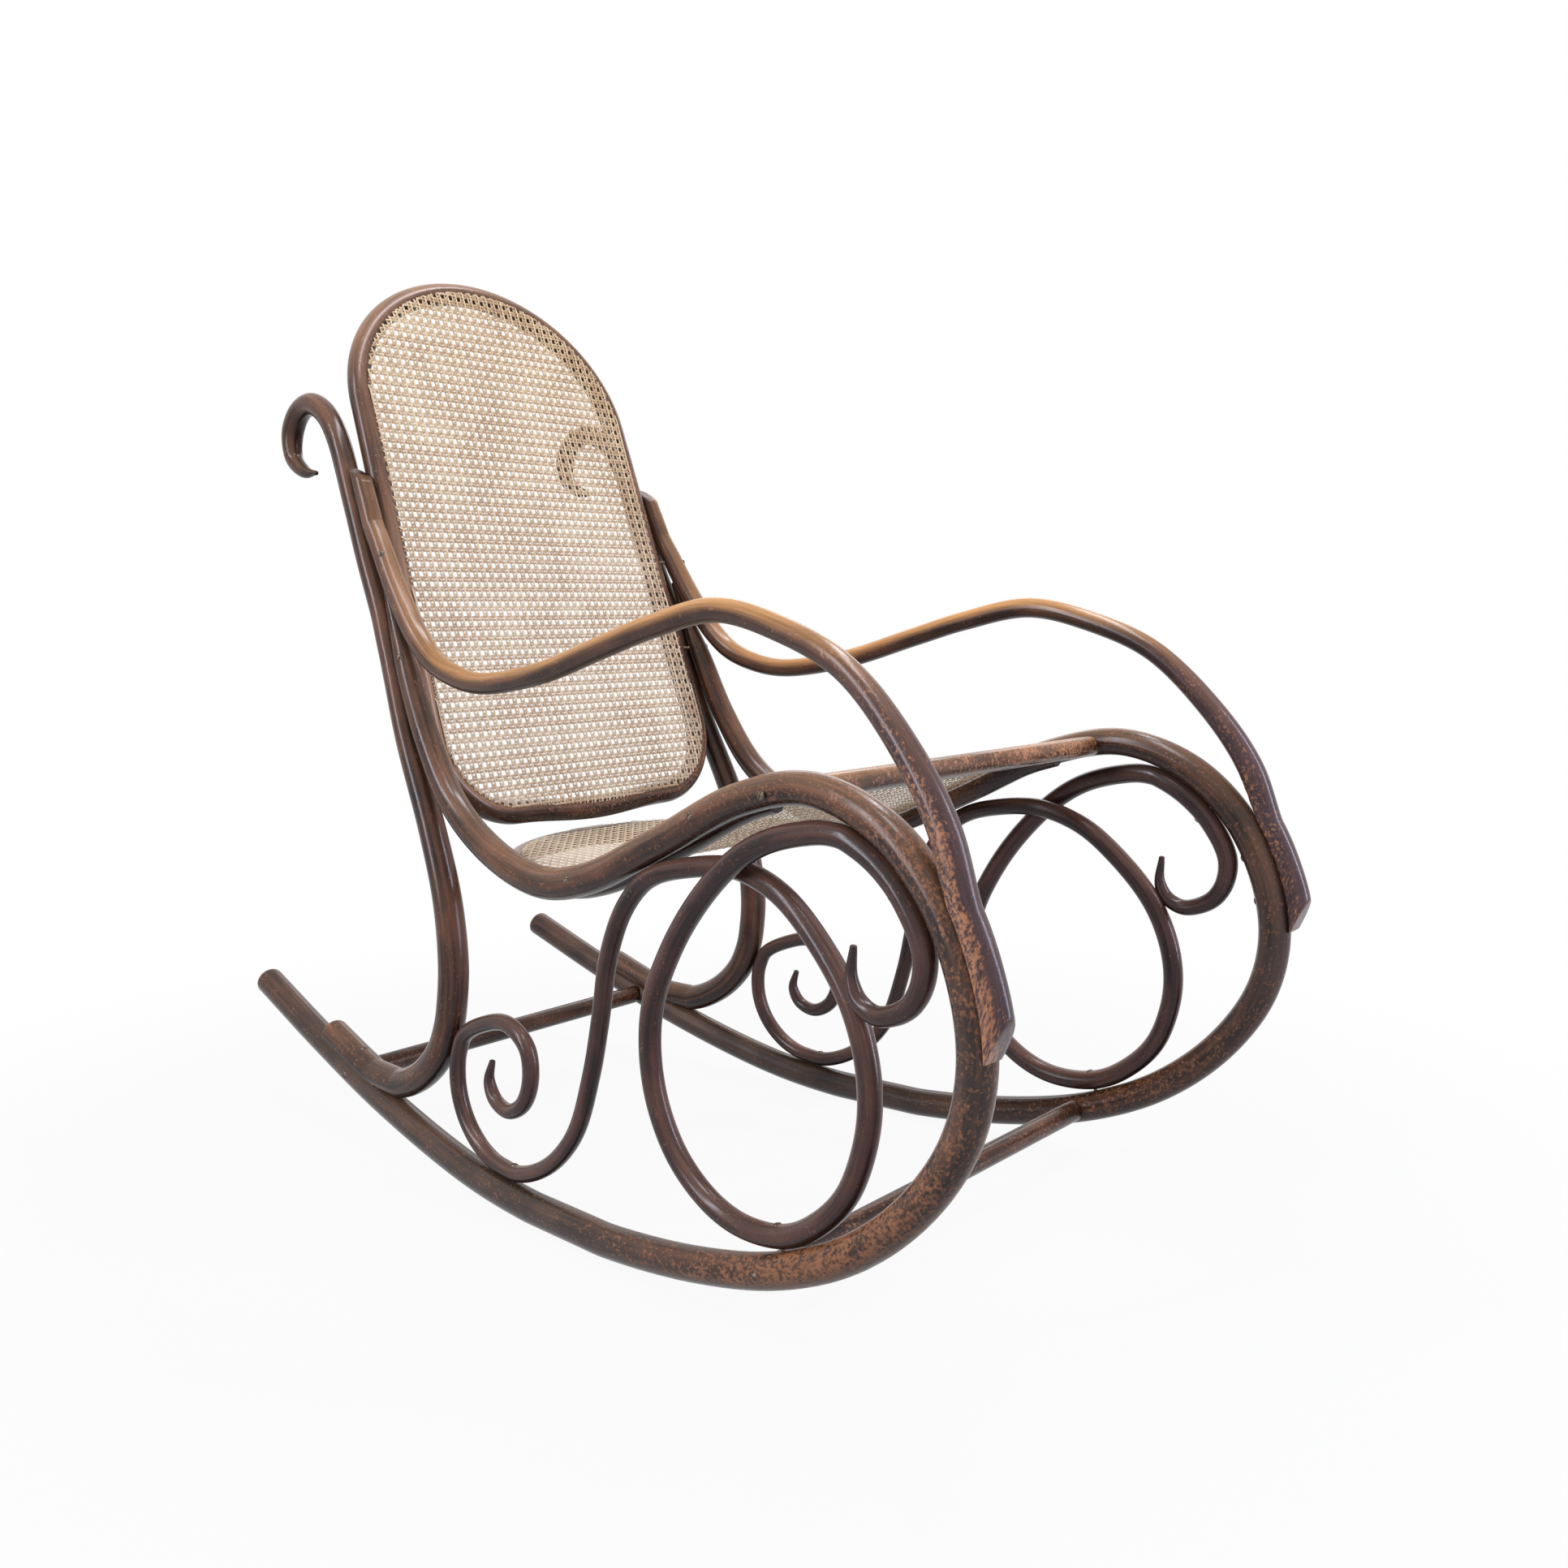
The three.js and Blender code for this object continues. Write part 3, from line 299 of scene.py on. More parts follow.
CURL_UP = [[-0.086, 0.053], [-0.116, 0.081], [-0.129, 0.119]]
CURL_ON_POST = [-0.119, 0.164]
REAR_CURL_ROUTE = [
    [-0.085, 0.189], [-0.05, 0.196], [-0.022, 0.178], [-0.017, 0.147], [-0.028, 0.119], [-0.05, 0.106],
    [-0.07, 0.113], [-0.079, 0.131], [-0.074, 0.152],
]

# %% The four rods
def make_runner():
    """The long loop. Its middle lies on the floor, so its centre is never lower than its radius."""
    floor = RUNNER / 2
    roll = np.column_stack([np.array(ROLL) * CHAIR[0], [floor, floor]])
    rod = Rod([placed(TAIL), roll, placed(FRONT), placed(SEAT_SIDE), placed(UPRIGHT_ROUTE)], [
        (TAIL[0], RUNNER), (FRONT[7], RUNNER), (FRONT[9], ARCH), (SEAT_SIDE[1], ARCH), (SEAT_SIDE[3], RUNNER),
        (UPRIGHT_ROUTE[0], UPRIGHT), (UPRIGHT_ROUTE[2], UPRIGHT_TIP),
    ])
    rod.line[:, 1] = np.maximum(rod.line[:, 1], floor)
    rod.measure()
    return rod


def make_post(runner):
    """The rear post: scroll, run beside the upright, bend and planed foot."""
    upper = [runner.beside(place, POST_TOP) for place in POST_BESIDE_UPRIGHT]
    foot = [runner.beside(place, POST, FOOT_LAP if i else 0) for i, place in enumerate(FOOT)]
    rod = Rod([placed(POST_SCROLL), placed(POST_UPPER), *upper, placed(POST_BEND), *foot], [
        (POST_SCROLL[0], POST_TIP), (POST_SCROLL[1], POST_NECK), (POST_SCROLL[3], POST_TOP),
        (POST_BESIDE_UPRIGHT[1], POST_TOP), (POST_BEND[3], POST), (FOOT[3], POST),
    ])
    rod.flatten(FOOT[0], FOOT[1], FOOT_LAP)
    rod.settle_on(runner)
    return rod


def make_arm(runner, post):
    """The arm: laid against the post at its top and planed to fit the runner loop in front."""
    upper = [post.beside(place, ARM_TOP) for place in ARM_BESIDE_POST]
    front = [runner.beside(place, ARM_FRONT, ARM_LAP) for place in ARM_BESIDE_RUNNER]
    rod = Rod([*upper, placed(ARM_ROUTE), *front], [
        (ARM_BESIDE_POST[0], ARM_TOP), (ARM_ROUTE[3], ARM_BEND), (ARM_ROUTE[7], ARM), (ARM_ROUTE[13], ARM),
        (ARM_BESIDE_RUNNER[0], ARM_FRONT),
    ])
    rod.flatten(ARM_ROUTE[15], ARM_BESIDE_RUNNER[0], ARM_LAP)
    rod.settle_on(post)
    rod.settle_on(runner)
    return rod


def make_scroll(runner, post):
    """The inner scroll. It touches the runner loop at four places and the post at one."""
    rod = Rod([
        placed(FRONT_CURL_ROUTE), runner.beside(UNDER_ARCH, SCROLL), placed(SCROLL_DOWN),
        runner.beside(SCROLL_ON_RUNNER, SCROLL), placed(SCROLL_UP), runner.beside(UNDER_SEAT, S_BEND),
        placed(S_BEND_ROUTE), runner.beside(CURL_ON_RUNNER, REAR_CURL), placed(CURL_UP),
        post.beside(CURL_ON_POST, REAR_CURL), placed(REAR_CURL_ROUTE),
    ], [
        (FRONT_CURL_ROUTE[0], CURL_TIP), (FRONT_CURL_ROUTE[1], CURL_NECK), (FRONT_CURL_ROUTE[3], FRONT_CURL),
        (FRONT_CURL_ROUTE[7], SCROLL), (SCROLL_UP[6], SCROLL), (UNDER_SEAT, S_BEND),
        (CURL_ON_RUNNER, REAR_CURL),
        (REAR_CURL_ROUTE[4], REAR_CURL), (REAR_CURL_ROUTE[7], CURL_NECK), (REAR_CURL_ROUTE[8], CURL_TIP),
    ])
    rod.settle_on(runner)
    rod.settle_on(post)
    return rod


runner = make_runner()
post = make_post(runner)
arm = make_arm(runner, post)
scroll = make_scroll(runner, post)
for name, rod in (("runner loop", runner), ("rear post", post), ("arm", arm), ("scroll loop", scroll)):
    print(name, "is", round(rod.length), "mm long")

# %% [markdown]
# ## Out of the side view
#
# The two frames stand a little closer at the rear and at the top, so a point's distance from the middle of
# the chair depends on its place. The arm's front end steps outwards, and where the scroll loop passes
# itself its two runs step to either side.

# %% From the side view into space
def frame_reach(x, z):
    """Half the spacing of the frames at a place: it grows towards the front and shrinks upwards."""
    return FRAME_SPACING / 2 + TOE_IN * x - LEAN_IN * z


def to_space(line, side, outward=0):
    """From the side view into space: y is the frame's reach plus a step outwards, on one side."""
    x, z = line.T
    return np.column_stack([x, side * (frame_reach(x, z) + outward), z])


def arm_steps():
    """Smooth step outwards between the last free bend and the lap on the runner."""
    start, end = arm.share_at(ARM_ROUTE[13]), arm.share_at(ARM_BESIDE_RUNNER[0])
    return ARM_FRONT_OFFSET * smoothstep(arm.shares, start, end)


def scroll_steps():
    """Eases between named offsets along the rod: to one side at the first pass of the crossing, to the other
    side at the second."""
    middle = (len(scroll.line) + 1) // 2
    apart = np.linalg.norm(scroll.line[:middle, None] - scroll.line[None, middle:], axis=2)
    first, second = np.unravel_index(apart.argmin(), apart.shape)
    second += middle
    step = (scroll.radius()[first] + scroll.radius()[second]) / 2 + TOUCH
    places = np.array([
        0, scroll.share_at(UNDER_ARCH), scroll.shares[first], scroll.share_at(SCROLL_ON_RUNNER),
        scroll.shares[second], scroll.share_at(UNDER_SEAT), 1,
    ])
    offsets = np.array([0, 0, step, 0, -step, 0, 0])
    span = np.clip(np.searchsorted(places, scroll.shares, side="right") - 1, 0, len(places) - 2)
    eased = smoothstep(scroll.shares, places[span], places[span + 1])
    return offsets[span] + (offsets[span + 1] - offsets[span]) * eased


outward = {"arm": arm_steps(), "scroll_loop": scroll_steps()}
print("scroll loop steps aside by", round(outward["scroll_loop"].max(), 1), "mm")

# %% [markdown]
# ## From surfaces to meshes
#
# A swept surface is a grid of rings. One function joins neighbouring rings with quads and closes both ends
# with a fan to a single point, so every rod is one closed skin. Each point also carries values of its own:
# grain coordinates that follow the rod, how golden, worn or grey the varnish is there, and how much painted
# highlight and painted shade it gets.

# %% Faces of a swept surface
def closed_faces(rings, sides):
    """Quads between neighbouring rings, and a fan of triangles to a pole beyond each end."""
    index = np.arange(rings * sides).reshape(rings, sides)
    right = np.roll(index, -1, axis=1)
    quads = np.stack([index[:-1], right[:-1], right[1:], index[1:]], axis=-1).reshape(-1, 4)
    pole = np.full(sides, rings * sides)
    first_fan = np.stack([right[0], index[0], pole], axis=-1)
    last_fan = np.stack([index[-1], right[-1], pole + 1], axis=-1)
    return [quads, first_fan, last_fan]


def looped_faces(rings, sides):
    """Quads between neighbouring rings, with the last ring joined to the first."""
    index = np.arange(rings * sides).reshape(rings, sides)
    right, below = np.roll(index, -1, axis=1), np.roll(index, -1, axis=0)
    return [np.stack([index, right, np.roll(below, -1, axis=1), below], axis=-1).reshape(-1, 4)]


def volume(points, faces):
    """Signed volume: a sixth of the sum of the triple products of each face's corners."""
    total = 0
    for group in faces:
        for k in range(1, group.shape[1] - 1):
            a, b, c = points[group[:, 0]], points[group[:, k]], points[group[:, k + 1]]
            total += (a * np.cross(b, c)).sum() / 6
    return total


# %% [markdown]
# A mesh could be drawn point by point with the editing tools, but whole arrays are quicker and say more
# clearly what a shape is. The next function makes a finished piece from them. It turns the faces outwards,
# stores what each point carries as attributes for the materials, hangs the piece under the chair's root and
# hides the imported piece that this one replaces.

# %% From arrays to a piece
def make_piece(name, points, faces, values, nodes, sharp=40):
    """Puts points in millimetres and groups of faces into a mesh whose faces point outwards. values gives
    attributes: one number or one vector for each point."""
    if volume(points, faces) < 0:
        faces = [group[:, ::-1] for group in faces]
    corners = np.concatenate([group.ravel() for group in faces])
    sizes = np.concatenate([np.full(len(group), group.shape[1]) for group in faces])
    mesh = bpy.data.meshes.new(name)
    mesh.vertices.add(len(points))
    mesh.vertices.foreach_set("co", ((points + [SHIFT, 0, 0]) * MM).astype(np.float32).ravel())
    mesh.loops.add(len(corners))
    mesh.loops.foreach_set("vertex_index", corners.astype(np.int32))
    mesh.polygons.add(len(sizes))
    mesh.polygons.foreach_set("loop_start", (np.cumsum(sizes) - sizes).astype(np.int32))
    mesh.update(calc_edges=True)
    mesh.validate()
    for key, value in values.items():
        value = np.asarray(value, np.float32)
        vector = value.ndim == 2
        attribute = mesh.attributes.new(key, "FLOAT_VECTOR" if vector else "FLOAT", "POINT")
        attribute.data.foreach_set("vector" if vector else "value", value.ravel())
    mesh.shade_smooth()
    mesh.set_sharp_from_angle(angle=np.radians(sharp))
    piece = bpy.data.objects.new(name, mesh)
    bpy.context.scene.collection.objects.link(piece)
    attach(piece, "root")
    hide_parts(*nodes)
    return piece


# %% [markdown]
# ## Sweeping a rod
#
# A ring is a circle square to the rod. Where two rods are planed flat to lie against each other, the circle
# is cut off on that side. A rounded end adds rings that shrink along a quarter of an ellipse; a slanting
# end leans the last rings and closes with a small chamfer. All that a point carries travels with it in one
# array: its place, its grain coordinates, its outward direction and its share of the rod's length.

# %% Swept rods
SIDES = 28
ACROSS, UPWARDS = np.array([0.0, 1, 0]), np.array([0.0, 0, 1])

# Columns of a point. The first part of its grain lies in the bend, the last is the running length.
PLACE, GRAIN, OUTWARD, SHARE = slice(0, 3), slice(3, 6), slice(6, 9), 9
BEND_PART, CROSS_PARTS, RUN_PART = 3, slice(3, 5), 5


def unit(vectors):
    """Each vector divided by its own length."""
    return vectors / np.linalg.norm(vectors, axis=-1, keepdims=True)


def directions(line, closed=False):
    """Direction at each point: the difference of its two neighbours, made one long."""
    if closed:
        return unit(np.roll(line, -1, 0) - np.roll(line, 1, 0))
    padded = np.vstack([line[0], line, line[-1]])
    return unit(padded[2:] - padded[:-2])


def averaged(values, window=21):
    """Running mean, with both ends held, so that diameters change without a kink."""
    padded = np.pad(values, window // 2, mode="edge")
    return np.convolve(padded, np.full(window, 1 / window), mode="valid")


# %% [markdown]
# A Bezier curve with a round bevel could draw the same rods. It can't plane them flat where they lap, and
# it carries no grain coordinates. So the rings are worked out here, all of them at once, from the
# directions of the line.

# %% Rings round a line
DOME_SHARE = 0.55
DOME_ANGLES = np.radians([15, 32, 48, 62, 76, 90])
CHAMFER = np.array([[0.955, 0.45], [0.93, 0.75], [0.6, 0.78], [0.3, 0.78], [0, 0.78]])
FADE = 4.2


def rings_of(line, radius, across, closed=False, low=None, high=None):
    """Rings round a line: centre + in_bend * clip(r cos a, low, high) + sideways * r sin a. Each point
    carries its place, (cos part, sin part, running length) as grain, its outward direction and its share."""
    along = directions(line, closed)
    in_bend = unit(np.cross(along, across))
    sideways = np.cross(along, in_bend)
    angle = np.linspace(0, 2 * np.pi, SIDES, endpoint=False)
    bend = radius[:, None] * np.cos(angle)
    side = radius[:, None] * np.sin(angle)
    if low is not None:
        bend = np.clip(bend, low[:, None], high[:, None])
    offset = in_bend[:, None] * bend[..., None] + sideways[:, None] * side[..., None]
    length = np.broadcast_to(lengths_along(line)[:, None], bend.shape)
    share = length / length.max()
    rings = np.dstack([line[:, None] + offset, bend, side, length, unit(offset), share])
    return rings, along


def lean(rings, along, slope, row):
    """Shears the rings near an end along the rod, by the distance in the bend times the slope, fading out."""
    length = rings[:, 0, RUN_PART]
    reach = FADE * abs(slope) * rings[row, :, BEND_PART].max()
    fade = 1 - smoothstep(abs(length - length[row]), 0, reach)
    rings[..., PLACE] += along[:, None] * (rings[..., BEND_PART] * slope * fade[:, None])[..., None]


def capped(rings, along, chamfered):
    """Closes both ends: copies of the end ring are scaled about its centre and moved on along the rod, on a
    quarter ellipse for a rounded end or a small chamfer for a cut one. The last copy shrinks to the pole."""
    parts, poles = [rings], []
    for row, sense in ((0, -1), (-1, 1)):
        ring = rings[row]
        centre = ring[:, PLACE].mean(0)
        size = np.linalg.norm(ring[:, PLACE] - centre, axis=1).mean()
        dome = np.column_stack([np.cos(DOME_ANGLES), size * DOME_SHARE * np.sin(DOME_ANGLES)])
        scale, reach = (CHAMFER if chamfered[row] else dome).T[:, :, None, None]
        added = np.repeat(ring[None], len(scale), 0)
        added[..., PLACE] = centre + (ring[:, PLACE] - centre) * scale + sense * along[row] * reach
        added[..., CROSS_PARTS] *= scale
        poles.append(added[-1].mean(0))
        parts = [added[:-1][::-1], *parts] if row == 0 else [*parts, added[:-1]]
    grid = np.concatenate(parts)
    return np.vstack([grid.reshape(-1, grid.shape[-1]), *poles]), closed_faces(*grid.shape[:2])


# %% [markdown]
# ## Where the varnish is golden, worn or grey
#
# Hands and feet have rubbed this chair. The tops of the arms are golden, the fronts of the arms and runners
# are worn to orange wood, and the tails stay dark. Each rod has small tables of places along it. Light and
# shade are painted in as well: the upper side of a rod takes more of the gold, as a painted highlight, and
# the lower side towards the floor is darkened with painted shade.

# %% Finish tables
WORN_SIDE = np.array([-0.767, -0.641, 0])
FINISH = {
    "runner_loop": {
        "gold": [(0, 0.2), (0.1, 0.25), (0.3, 0.15), (0.5, 0.15), (0.6, 0.35), (0.7, 0.45), (0.8, 0.35),
                 (1, 0.3)],
        "wear": [(0, 0.2), (0.05, 0.1), (0.15, 0.1), (0.25, 0.2), (0.33, 0.35), (0.39, 0.75), (0.45, 0.7),
                 (0.52, 0.35), (0.6, 0.42), (0.68, 0.35), (0.78, 0.15), (1, 0.1)],
        "grey": [(0, 0.4), (0.1, 0.8), (0.25, 0.8), (0.36, 0.5), (0.42, 0.2), (0.52, 0.7), (0.62, 0.3),
                 (0.75, 0.2), (1, 0.2)],
    },
    "rear_post": {
        "gold": [(0, 0.3), (0.2, 0.3), (0.5, 0.25), (0.75, 0.2), (1, 0.3)],
        "wear": [(0, 0.1), (0.2, 0.05), (0.6, 0.05), (0.8, 0.15), (1, 0.25)],
        "grey": [(0, 0.2), (0.3, 0.2), (0.55, 0.35), (0.8, 0.1), (1, 0.2)],
    },
    "arm": {
        "gold": [(0, 0.4), (0.15, 0.45), (0.27, 0.6), (0.4, 0.85), (0.55, 0.95), (0.66, 0.6), (0.76, 0.25),
                 (1, 0.1)],
        "wear": [(0, 0.15), (0.1, 0.1), (0.5, 0.05), (0.7, 0.1), (0.79, 0.3), (0.86, 0.65), (1, 0.7)],
        "grey": [(0, 0.3), (0.2, 0.2), (0.6, 0.1), (0.74, 0.6), (0.85, 0.8), (1, 0.8)],
        "worn_side": WORN_SIDE,
    },
    "scroll_loop": {
        "gold": [(0, 0.2), (0.3, 0.3), (0.6, 0.35), (1, 0.3)],
        "wear": [(0, 0.05), (0.3, 0.1), (0.7, 0.05), (1, 0.1)],
        "grey": [(0, 0.5), (0.25, 0.3), (0.7, 0.2), (1, 0.5)],
    },
}

# %% [markdown]
# Tables along a rod would alone paint bands round it. The direction in which each point faces breaks them
# up: the gold, partly a painted highlight, lies on the upper side, painted shade darkens the lower side, and
# the arms are worn where hands reach them.

# %% Finish of a skin
# Painted shade: how far the lower side of a rod is darkened.
PAINTED_SHADE_DEPTH = 0.85
# Painted highlight: the share of the gold that the lower side of a rod keeps.
PAINTED_HIGHLIGHT_BELOW, WEAR_BEHIND = 0.1, 0.15

# How far a skin faces up, down or to its worn side where an effect starts, and where it is full.
PAINTED_HIGHLIGHT_FACING, PAINTED_SHADE_FACING, WORN_FACING = (-0.35, 0.8), (-0.1, 0.9), (-0.2, 0.35)


def finish(points, tables, seed, wear=1.0):
    """Attributes of a skin. gold is its table's value on the upper side and fades out below, under is full
    on the lower side and fades out above, and where a table names a worn_side the wear stays on that side.
    The grain's length is moved on by a seed, so that no two rods share a pattern."""
    share, facing = points[:, SHARE], points[:, OUTWARD]
    up = facing @ UPWARDS
    values = {key: np.interp(share, *zip(*tables[key])) for key in ("gold", "wear", "grey")}
    # Painted highlight: the gold is full on the upper side and fades out below, as light from above falls.
    values["gold"] = values["gold"] * (PAINTED_HIGHLIGHT_BELOW + (1 - PAINTED_HIGHLIGHT_BELOW) * smoothstep(up, *PAINTED_HIGHLIGHT_FACING))
    values["wear"] = values["wear"] * wear
    # Painted shade: the lower side of every skin is marked to be darkened, where shade falls.
    values["under"] = PAINTED_SHADE_DEPTH * smoothstep(-up, *PAINTED_SHADE_FACING)
    if "worn_side" in tables:
        exposed = smoothstep(facing @ tables["worn_side"], *WORN_FACING)
        values["wear"] = values["wear"] * (WEAR_BEHIND + (1 - WEAR_BEHIND) * exposed)
    grain = points[:, GRAIN] + [0, 0, seed * CHAIR[0]]
    return {**values, "grain": grain * MM}


# %% [markdown]
# Both frames share one set of routes. They differ in their side, in the seed of their grain and in how much
# they are worn, so that the two don't look like copies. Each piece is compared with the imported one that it
# replaces, and the differences are printed.

# %% Side-frame rods
FAR_WEAR = 0.55


def rod_piece(name, rod, side, seed, flat_side=1, outward=0, start_slope=0, end_slope=0):
    """One side-frame rod: rings round its line in space, leaned and capped at its ends. flat_side says on
    which side of its bend the rod is planed flat where it laps another."""
    line = fair(to_space(rod.line, side, outward))
    radius = averaged(rod.radius())
    flat = radius - rod.lap()
    low, high = (-radius, flat) if flat_side > 0 else (-flat, radius)
    rings, along = rings_of(line, radius, ACROSS, low=low, high=high)
    for slope, row in ((start_slope, 0), (end_slope, -1)):
        if slope:
            lean(rings, along, slope, row)
    points, faces = capped(rings, along, {0: start_slope != 0, -1: end_slope != 0})
    node = f"{name}_{'right' if side < 0 else 'left'}"
    values = finish(points, FINISH[name], seed, 1 if side < 0 else FAR_WEAR)
    piece = make_piece(f"bent_{node}", points[:, PLACE], faces, values, [node])
    low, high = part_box(node)
    corners = np.array([corner[:] for corner in piece.bound_box])
    apart = max(abs(corners.min(0) - low[:]).max(), abs(corners.max(0) - high[:]).max()) / MM
    print(node, len(piece.data.polygons), "faces, its box within", round(apart, 1), "mm of the node's")
    return piece


ARM_TOP_BEVEL, ARM_FRONT_BEVEL = 1.2, 1.75
wood_pieces = []
for side in (-1, 1):
    wood_pieces += [
        rod_piece("runner_loop", runner, side, seed=1 + side),
        rod_piece("rear_post", post, side, seed=4 + side),
        rod_piece("scroll_loop", scroll, side, seed=10 + side, outward=outward["scroll_loop"]),
        rod_piece("arm", arm, side, seed=7 + side, flat_side=-1, outward=outward["arm"],
                  start_slope=ARM_TOP_BEVEL, end_slope=-ARM_FRONT_BEVEL),
    ]

# %% [markdown]
# ## Back hoop
#
# The hoop is one rod bent into a closed ring. It lies in a leaning plane between the uprights: two quarter
# ellipses make the crown, two quarter circles the lower corners, and the bottom sags a little in the
# middle.

# %% Plane of the back
HOOP_TILT = np.radians(19.2)
HOOP_CONTACTS = [0.546, 0.737]
HOOP_SET_BACK = 5


def at_height(rod, height):
    """Where a rod first passes a height."""
    index = np.flatnonzero(np.diff(np.sign(rod.line[:, 1] - height)))[0] + 1
    return rod.line[index], rod.radius()[index]


class HoopPlane:
    """The leaning plane of the back. foot and slope give its line in the side view, and the width between the
    frames changes straight from the lower contact to the upper one."""

    def __init__(self):
        heights = np.array(HOOP_CONTACTS) * CHAIR[1]
        contacts = [at_height(rod, height) for rod, height in zip((runner, arm), heights)]
        self.slope = np.array([-np.sin(HOOP_TILT), 0, np.cos(HOOP_TILT)])
        self.forward = np.cross(ACROSS, self.slope)
        self.foot = np.array([contacts[1][0][0] - HOOP_SET_BACK, 0, contacts[1][0][1]])
        self.ups = [(point[1] - self.foot[2]) / self.slope[2] for point, _ in contacts]
        self.halves = [
            frame_reach(self.foot[0] + up * self.slope[0], point[1]) - radius - BENT_TOUCH - HOOP / 2
            for up, (point, radius) in zip(self.ups, contacts)
        ]

    def up_at(self, share):
        """How far up the plane a share of the chair's height lies."""
        return (share * CHAIR[1] - self.foot[2]) / self.slope[2]

    def half_width(self, up):
        """Half the hoop's width, changing straight between the two contacts."""
        share = (up - self.ups[0]) / (self.ups[1] - self.ups[0])
        return self.halves[0] + share * (self.halves[1] - self.halves[0])

    def place(self, flat, forward=0):
        """From (across, up) in the plane, and a height in front of it, into space."""
        across, up = flat[..., 0:1], flat[..., 1:2]
        return self.foot + up * self.slope + across * ACROSS + np.asarray(forward)[..., None] * self.forward


# %% [markdown]
# The outline is drawn flat, where its parts are plain curves, and put into the leaning plane afterwards.
# Its points are spread evenly, because rings that bunch up in a corner show as creases in the shine.

# %% Outline of the hoop
HOOP_BOTTOM = 0.367
CROWN_RISE = 152
CORNER_RADIUS = 84
BOTTOM_SAG = 6
ARC_STEPS = 90
HOOP_STEPS = 420


def even(line, steps):
    """The same closed line with its points at equal distances."""
    line = np.vstack([line, line[:1]])
    lengths = lengths_along(line)
    at = np.linspace(0, lengths[-1], steps, endpoint=False)
    return np.column_stack([np.interp(at, lengths, column) for column in line.T])


def hoop_outline(plane):
    """Anticlockwise loop: half a cosine wave for the sagging bottom, a quarter circle x = w - r(1 - sin a),
    y = c - r cos a, a straight side, and a quarter ellipse x = w cos a, y = c + h sin a; then mirrored."""
    radius = HOOP / 2
    top = plane.up_at(1) - radius / plane.slope[2]
    crown = top - CROWN_RISE
    lowest = plane.up_at(HOOP_BOTTOM) + radius / plane.slope[2]
    corner = lowest + BOTTOM_SAG + CORNER_RADIUS
    turn = np.linspace(0, np.pi / 2, ARC_STEPS)
    wide, narrow = plane.half_width(crown), plane.half_width(corner)
    wave = np.linspace(0, 1, ARC_STEPS, endpoint=False)
    flat_part = narrow - CORNER_RADIUS
    sag = np.column_stack([wave * flat_part, lowest + BOTTOM_SAG * (1 - np.cos(np.pi * wave)) / 2])
    arc = np.column_stack([
        narrow - CORNER_RADIUS * (1 - np.sin(turn)), corner - CORNER_RADIUS * np.cos(turn),
    ])
    side = np.linspace(arc[-1], [wide, crown], ARC_STEPS)[1:-1]
    vault = np.column_stack([wide * np.cos(turn), crown + CROWN_RISE * np.sin(turn)])
    left = np.vstack([sag, arc, side, vault])
    right = left[1:-1][::-1] * [-1, 1]
    return fair(even(np.vstack([left, right]), HOOP_STEPS), closed=True)


# %% [markdown]
# A torus would be too round, and a closed Bezier curve needs handles placed by hand. Rings carried round
# the outline keep the rod's real thickness everywhere, and the last ring joins the first without a seam.

# %% Hoop
# The strong gold on the near side of the hoop is partly a painted highlight.
HOOP_FINISH = {
    "gold": [(0, 0.35), (0.2, 0.35), (0.45, 0.4), (0.52, 0.5), (0.7, 0.4), (0.76, 0.8), (0.86, 0.9),
             (0.93, 0.4), (1, 0.35)],
    "wear": [(0, 0.3), (0.1, 0.4), (0.2, 0.3), (0.5, 0.1), (0.8, 0.1), (1, 0.3)],
    "grey": [(0, 0.2), (0.5, 0.4), (0.6, 0.4), (1, 0.2)],
}


def hoop_piece(line):
    """A closed ring of rod round the hoop's centre line."""
    rings, _ = rings_of(line, np.full(len(line), HOOP / 2), plane.forward, closed=True)
    points = rings.reshape(-1, rings.shape[-1])
    faces = looped_faces(*rings.shape[:2])
    values = finish(points, HOOP_FINISH, seed=13)
    return make_piece("bent_back_hoop", points[:, PLACE], faces, values, ["back_hoop"])


plane = HoopPlane()
outline = hoop_outline(plane)
wood_pieces.append(hoop_piece(plane.place(outline)))
print("back hoop is", round(np.ptp(outline[:, 0])), "mm wide on its centre line")

# %% [markdown]
# ## Seat rails and stretchers
#
# The seat rail is a horseshoe that follows the runner loops and closes behind the seat. The flat front rail
# and the two stretchers are butted against the runner loops, so their ends are hollowed to fit round them.

# %% Place of the seat
def column_at(line, value, x):
    """Reads a value at a distance along the chair, on a stretch of line where X only grows or only falls."""
    order = np.argsort(line[:, 0])
    return np.interp(x, line[order, 0], value[order])


class SeatSide:
    """The stretch of the runner loop beside the seat, from the arch to the dip."""

    def __init__(self):
        start = nearest(runner.line, placed(FRONT[9]))[1][0]
        end = nearest(runner.line, placed(SEAT_SIDE[3]))[1][0]
        self.line, self.radii = runner.line[start:end + 1], runner.radius()[start:end + 1]

    def height(self, x):
        """Height of the loop's centre line at x."""
        return column_at(self.line, self.line[:, 1], x)

    def radius(self, x):
        """Radius of the loop at x."""
        return column_at(self.line, self.radii, x)


seat_side = SeatSide()
rail_x = FRONT_RAIL_SHARE * CHAIR[0]
half_depth = FRONT_RAIL_DEPTH / 2
rise = seat_side.height(rail_x + half_depth) - seat_side.height(rail_x - half_depth)
rail_along = unit(np.array([FRONT_RAIL_DEPTH, 0, rise]))
rail_up = np.array([-rail_along[2], 0, rail_along[0]])
rail_middle = np.array([rail_x, 0, seat_side.height(rail_x) - FRONT_RAIL_DROP])
rail_rear = rail_middle - rail_along * (half_depth + TOUCH)

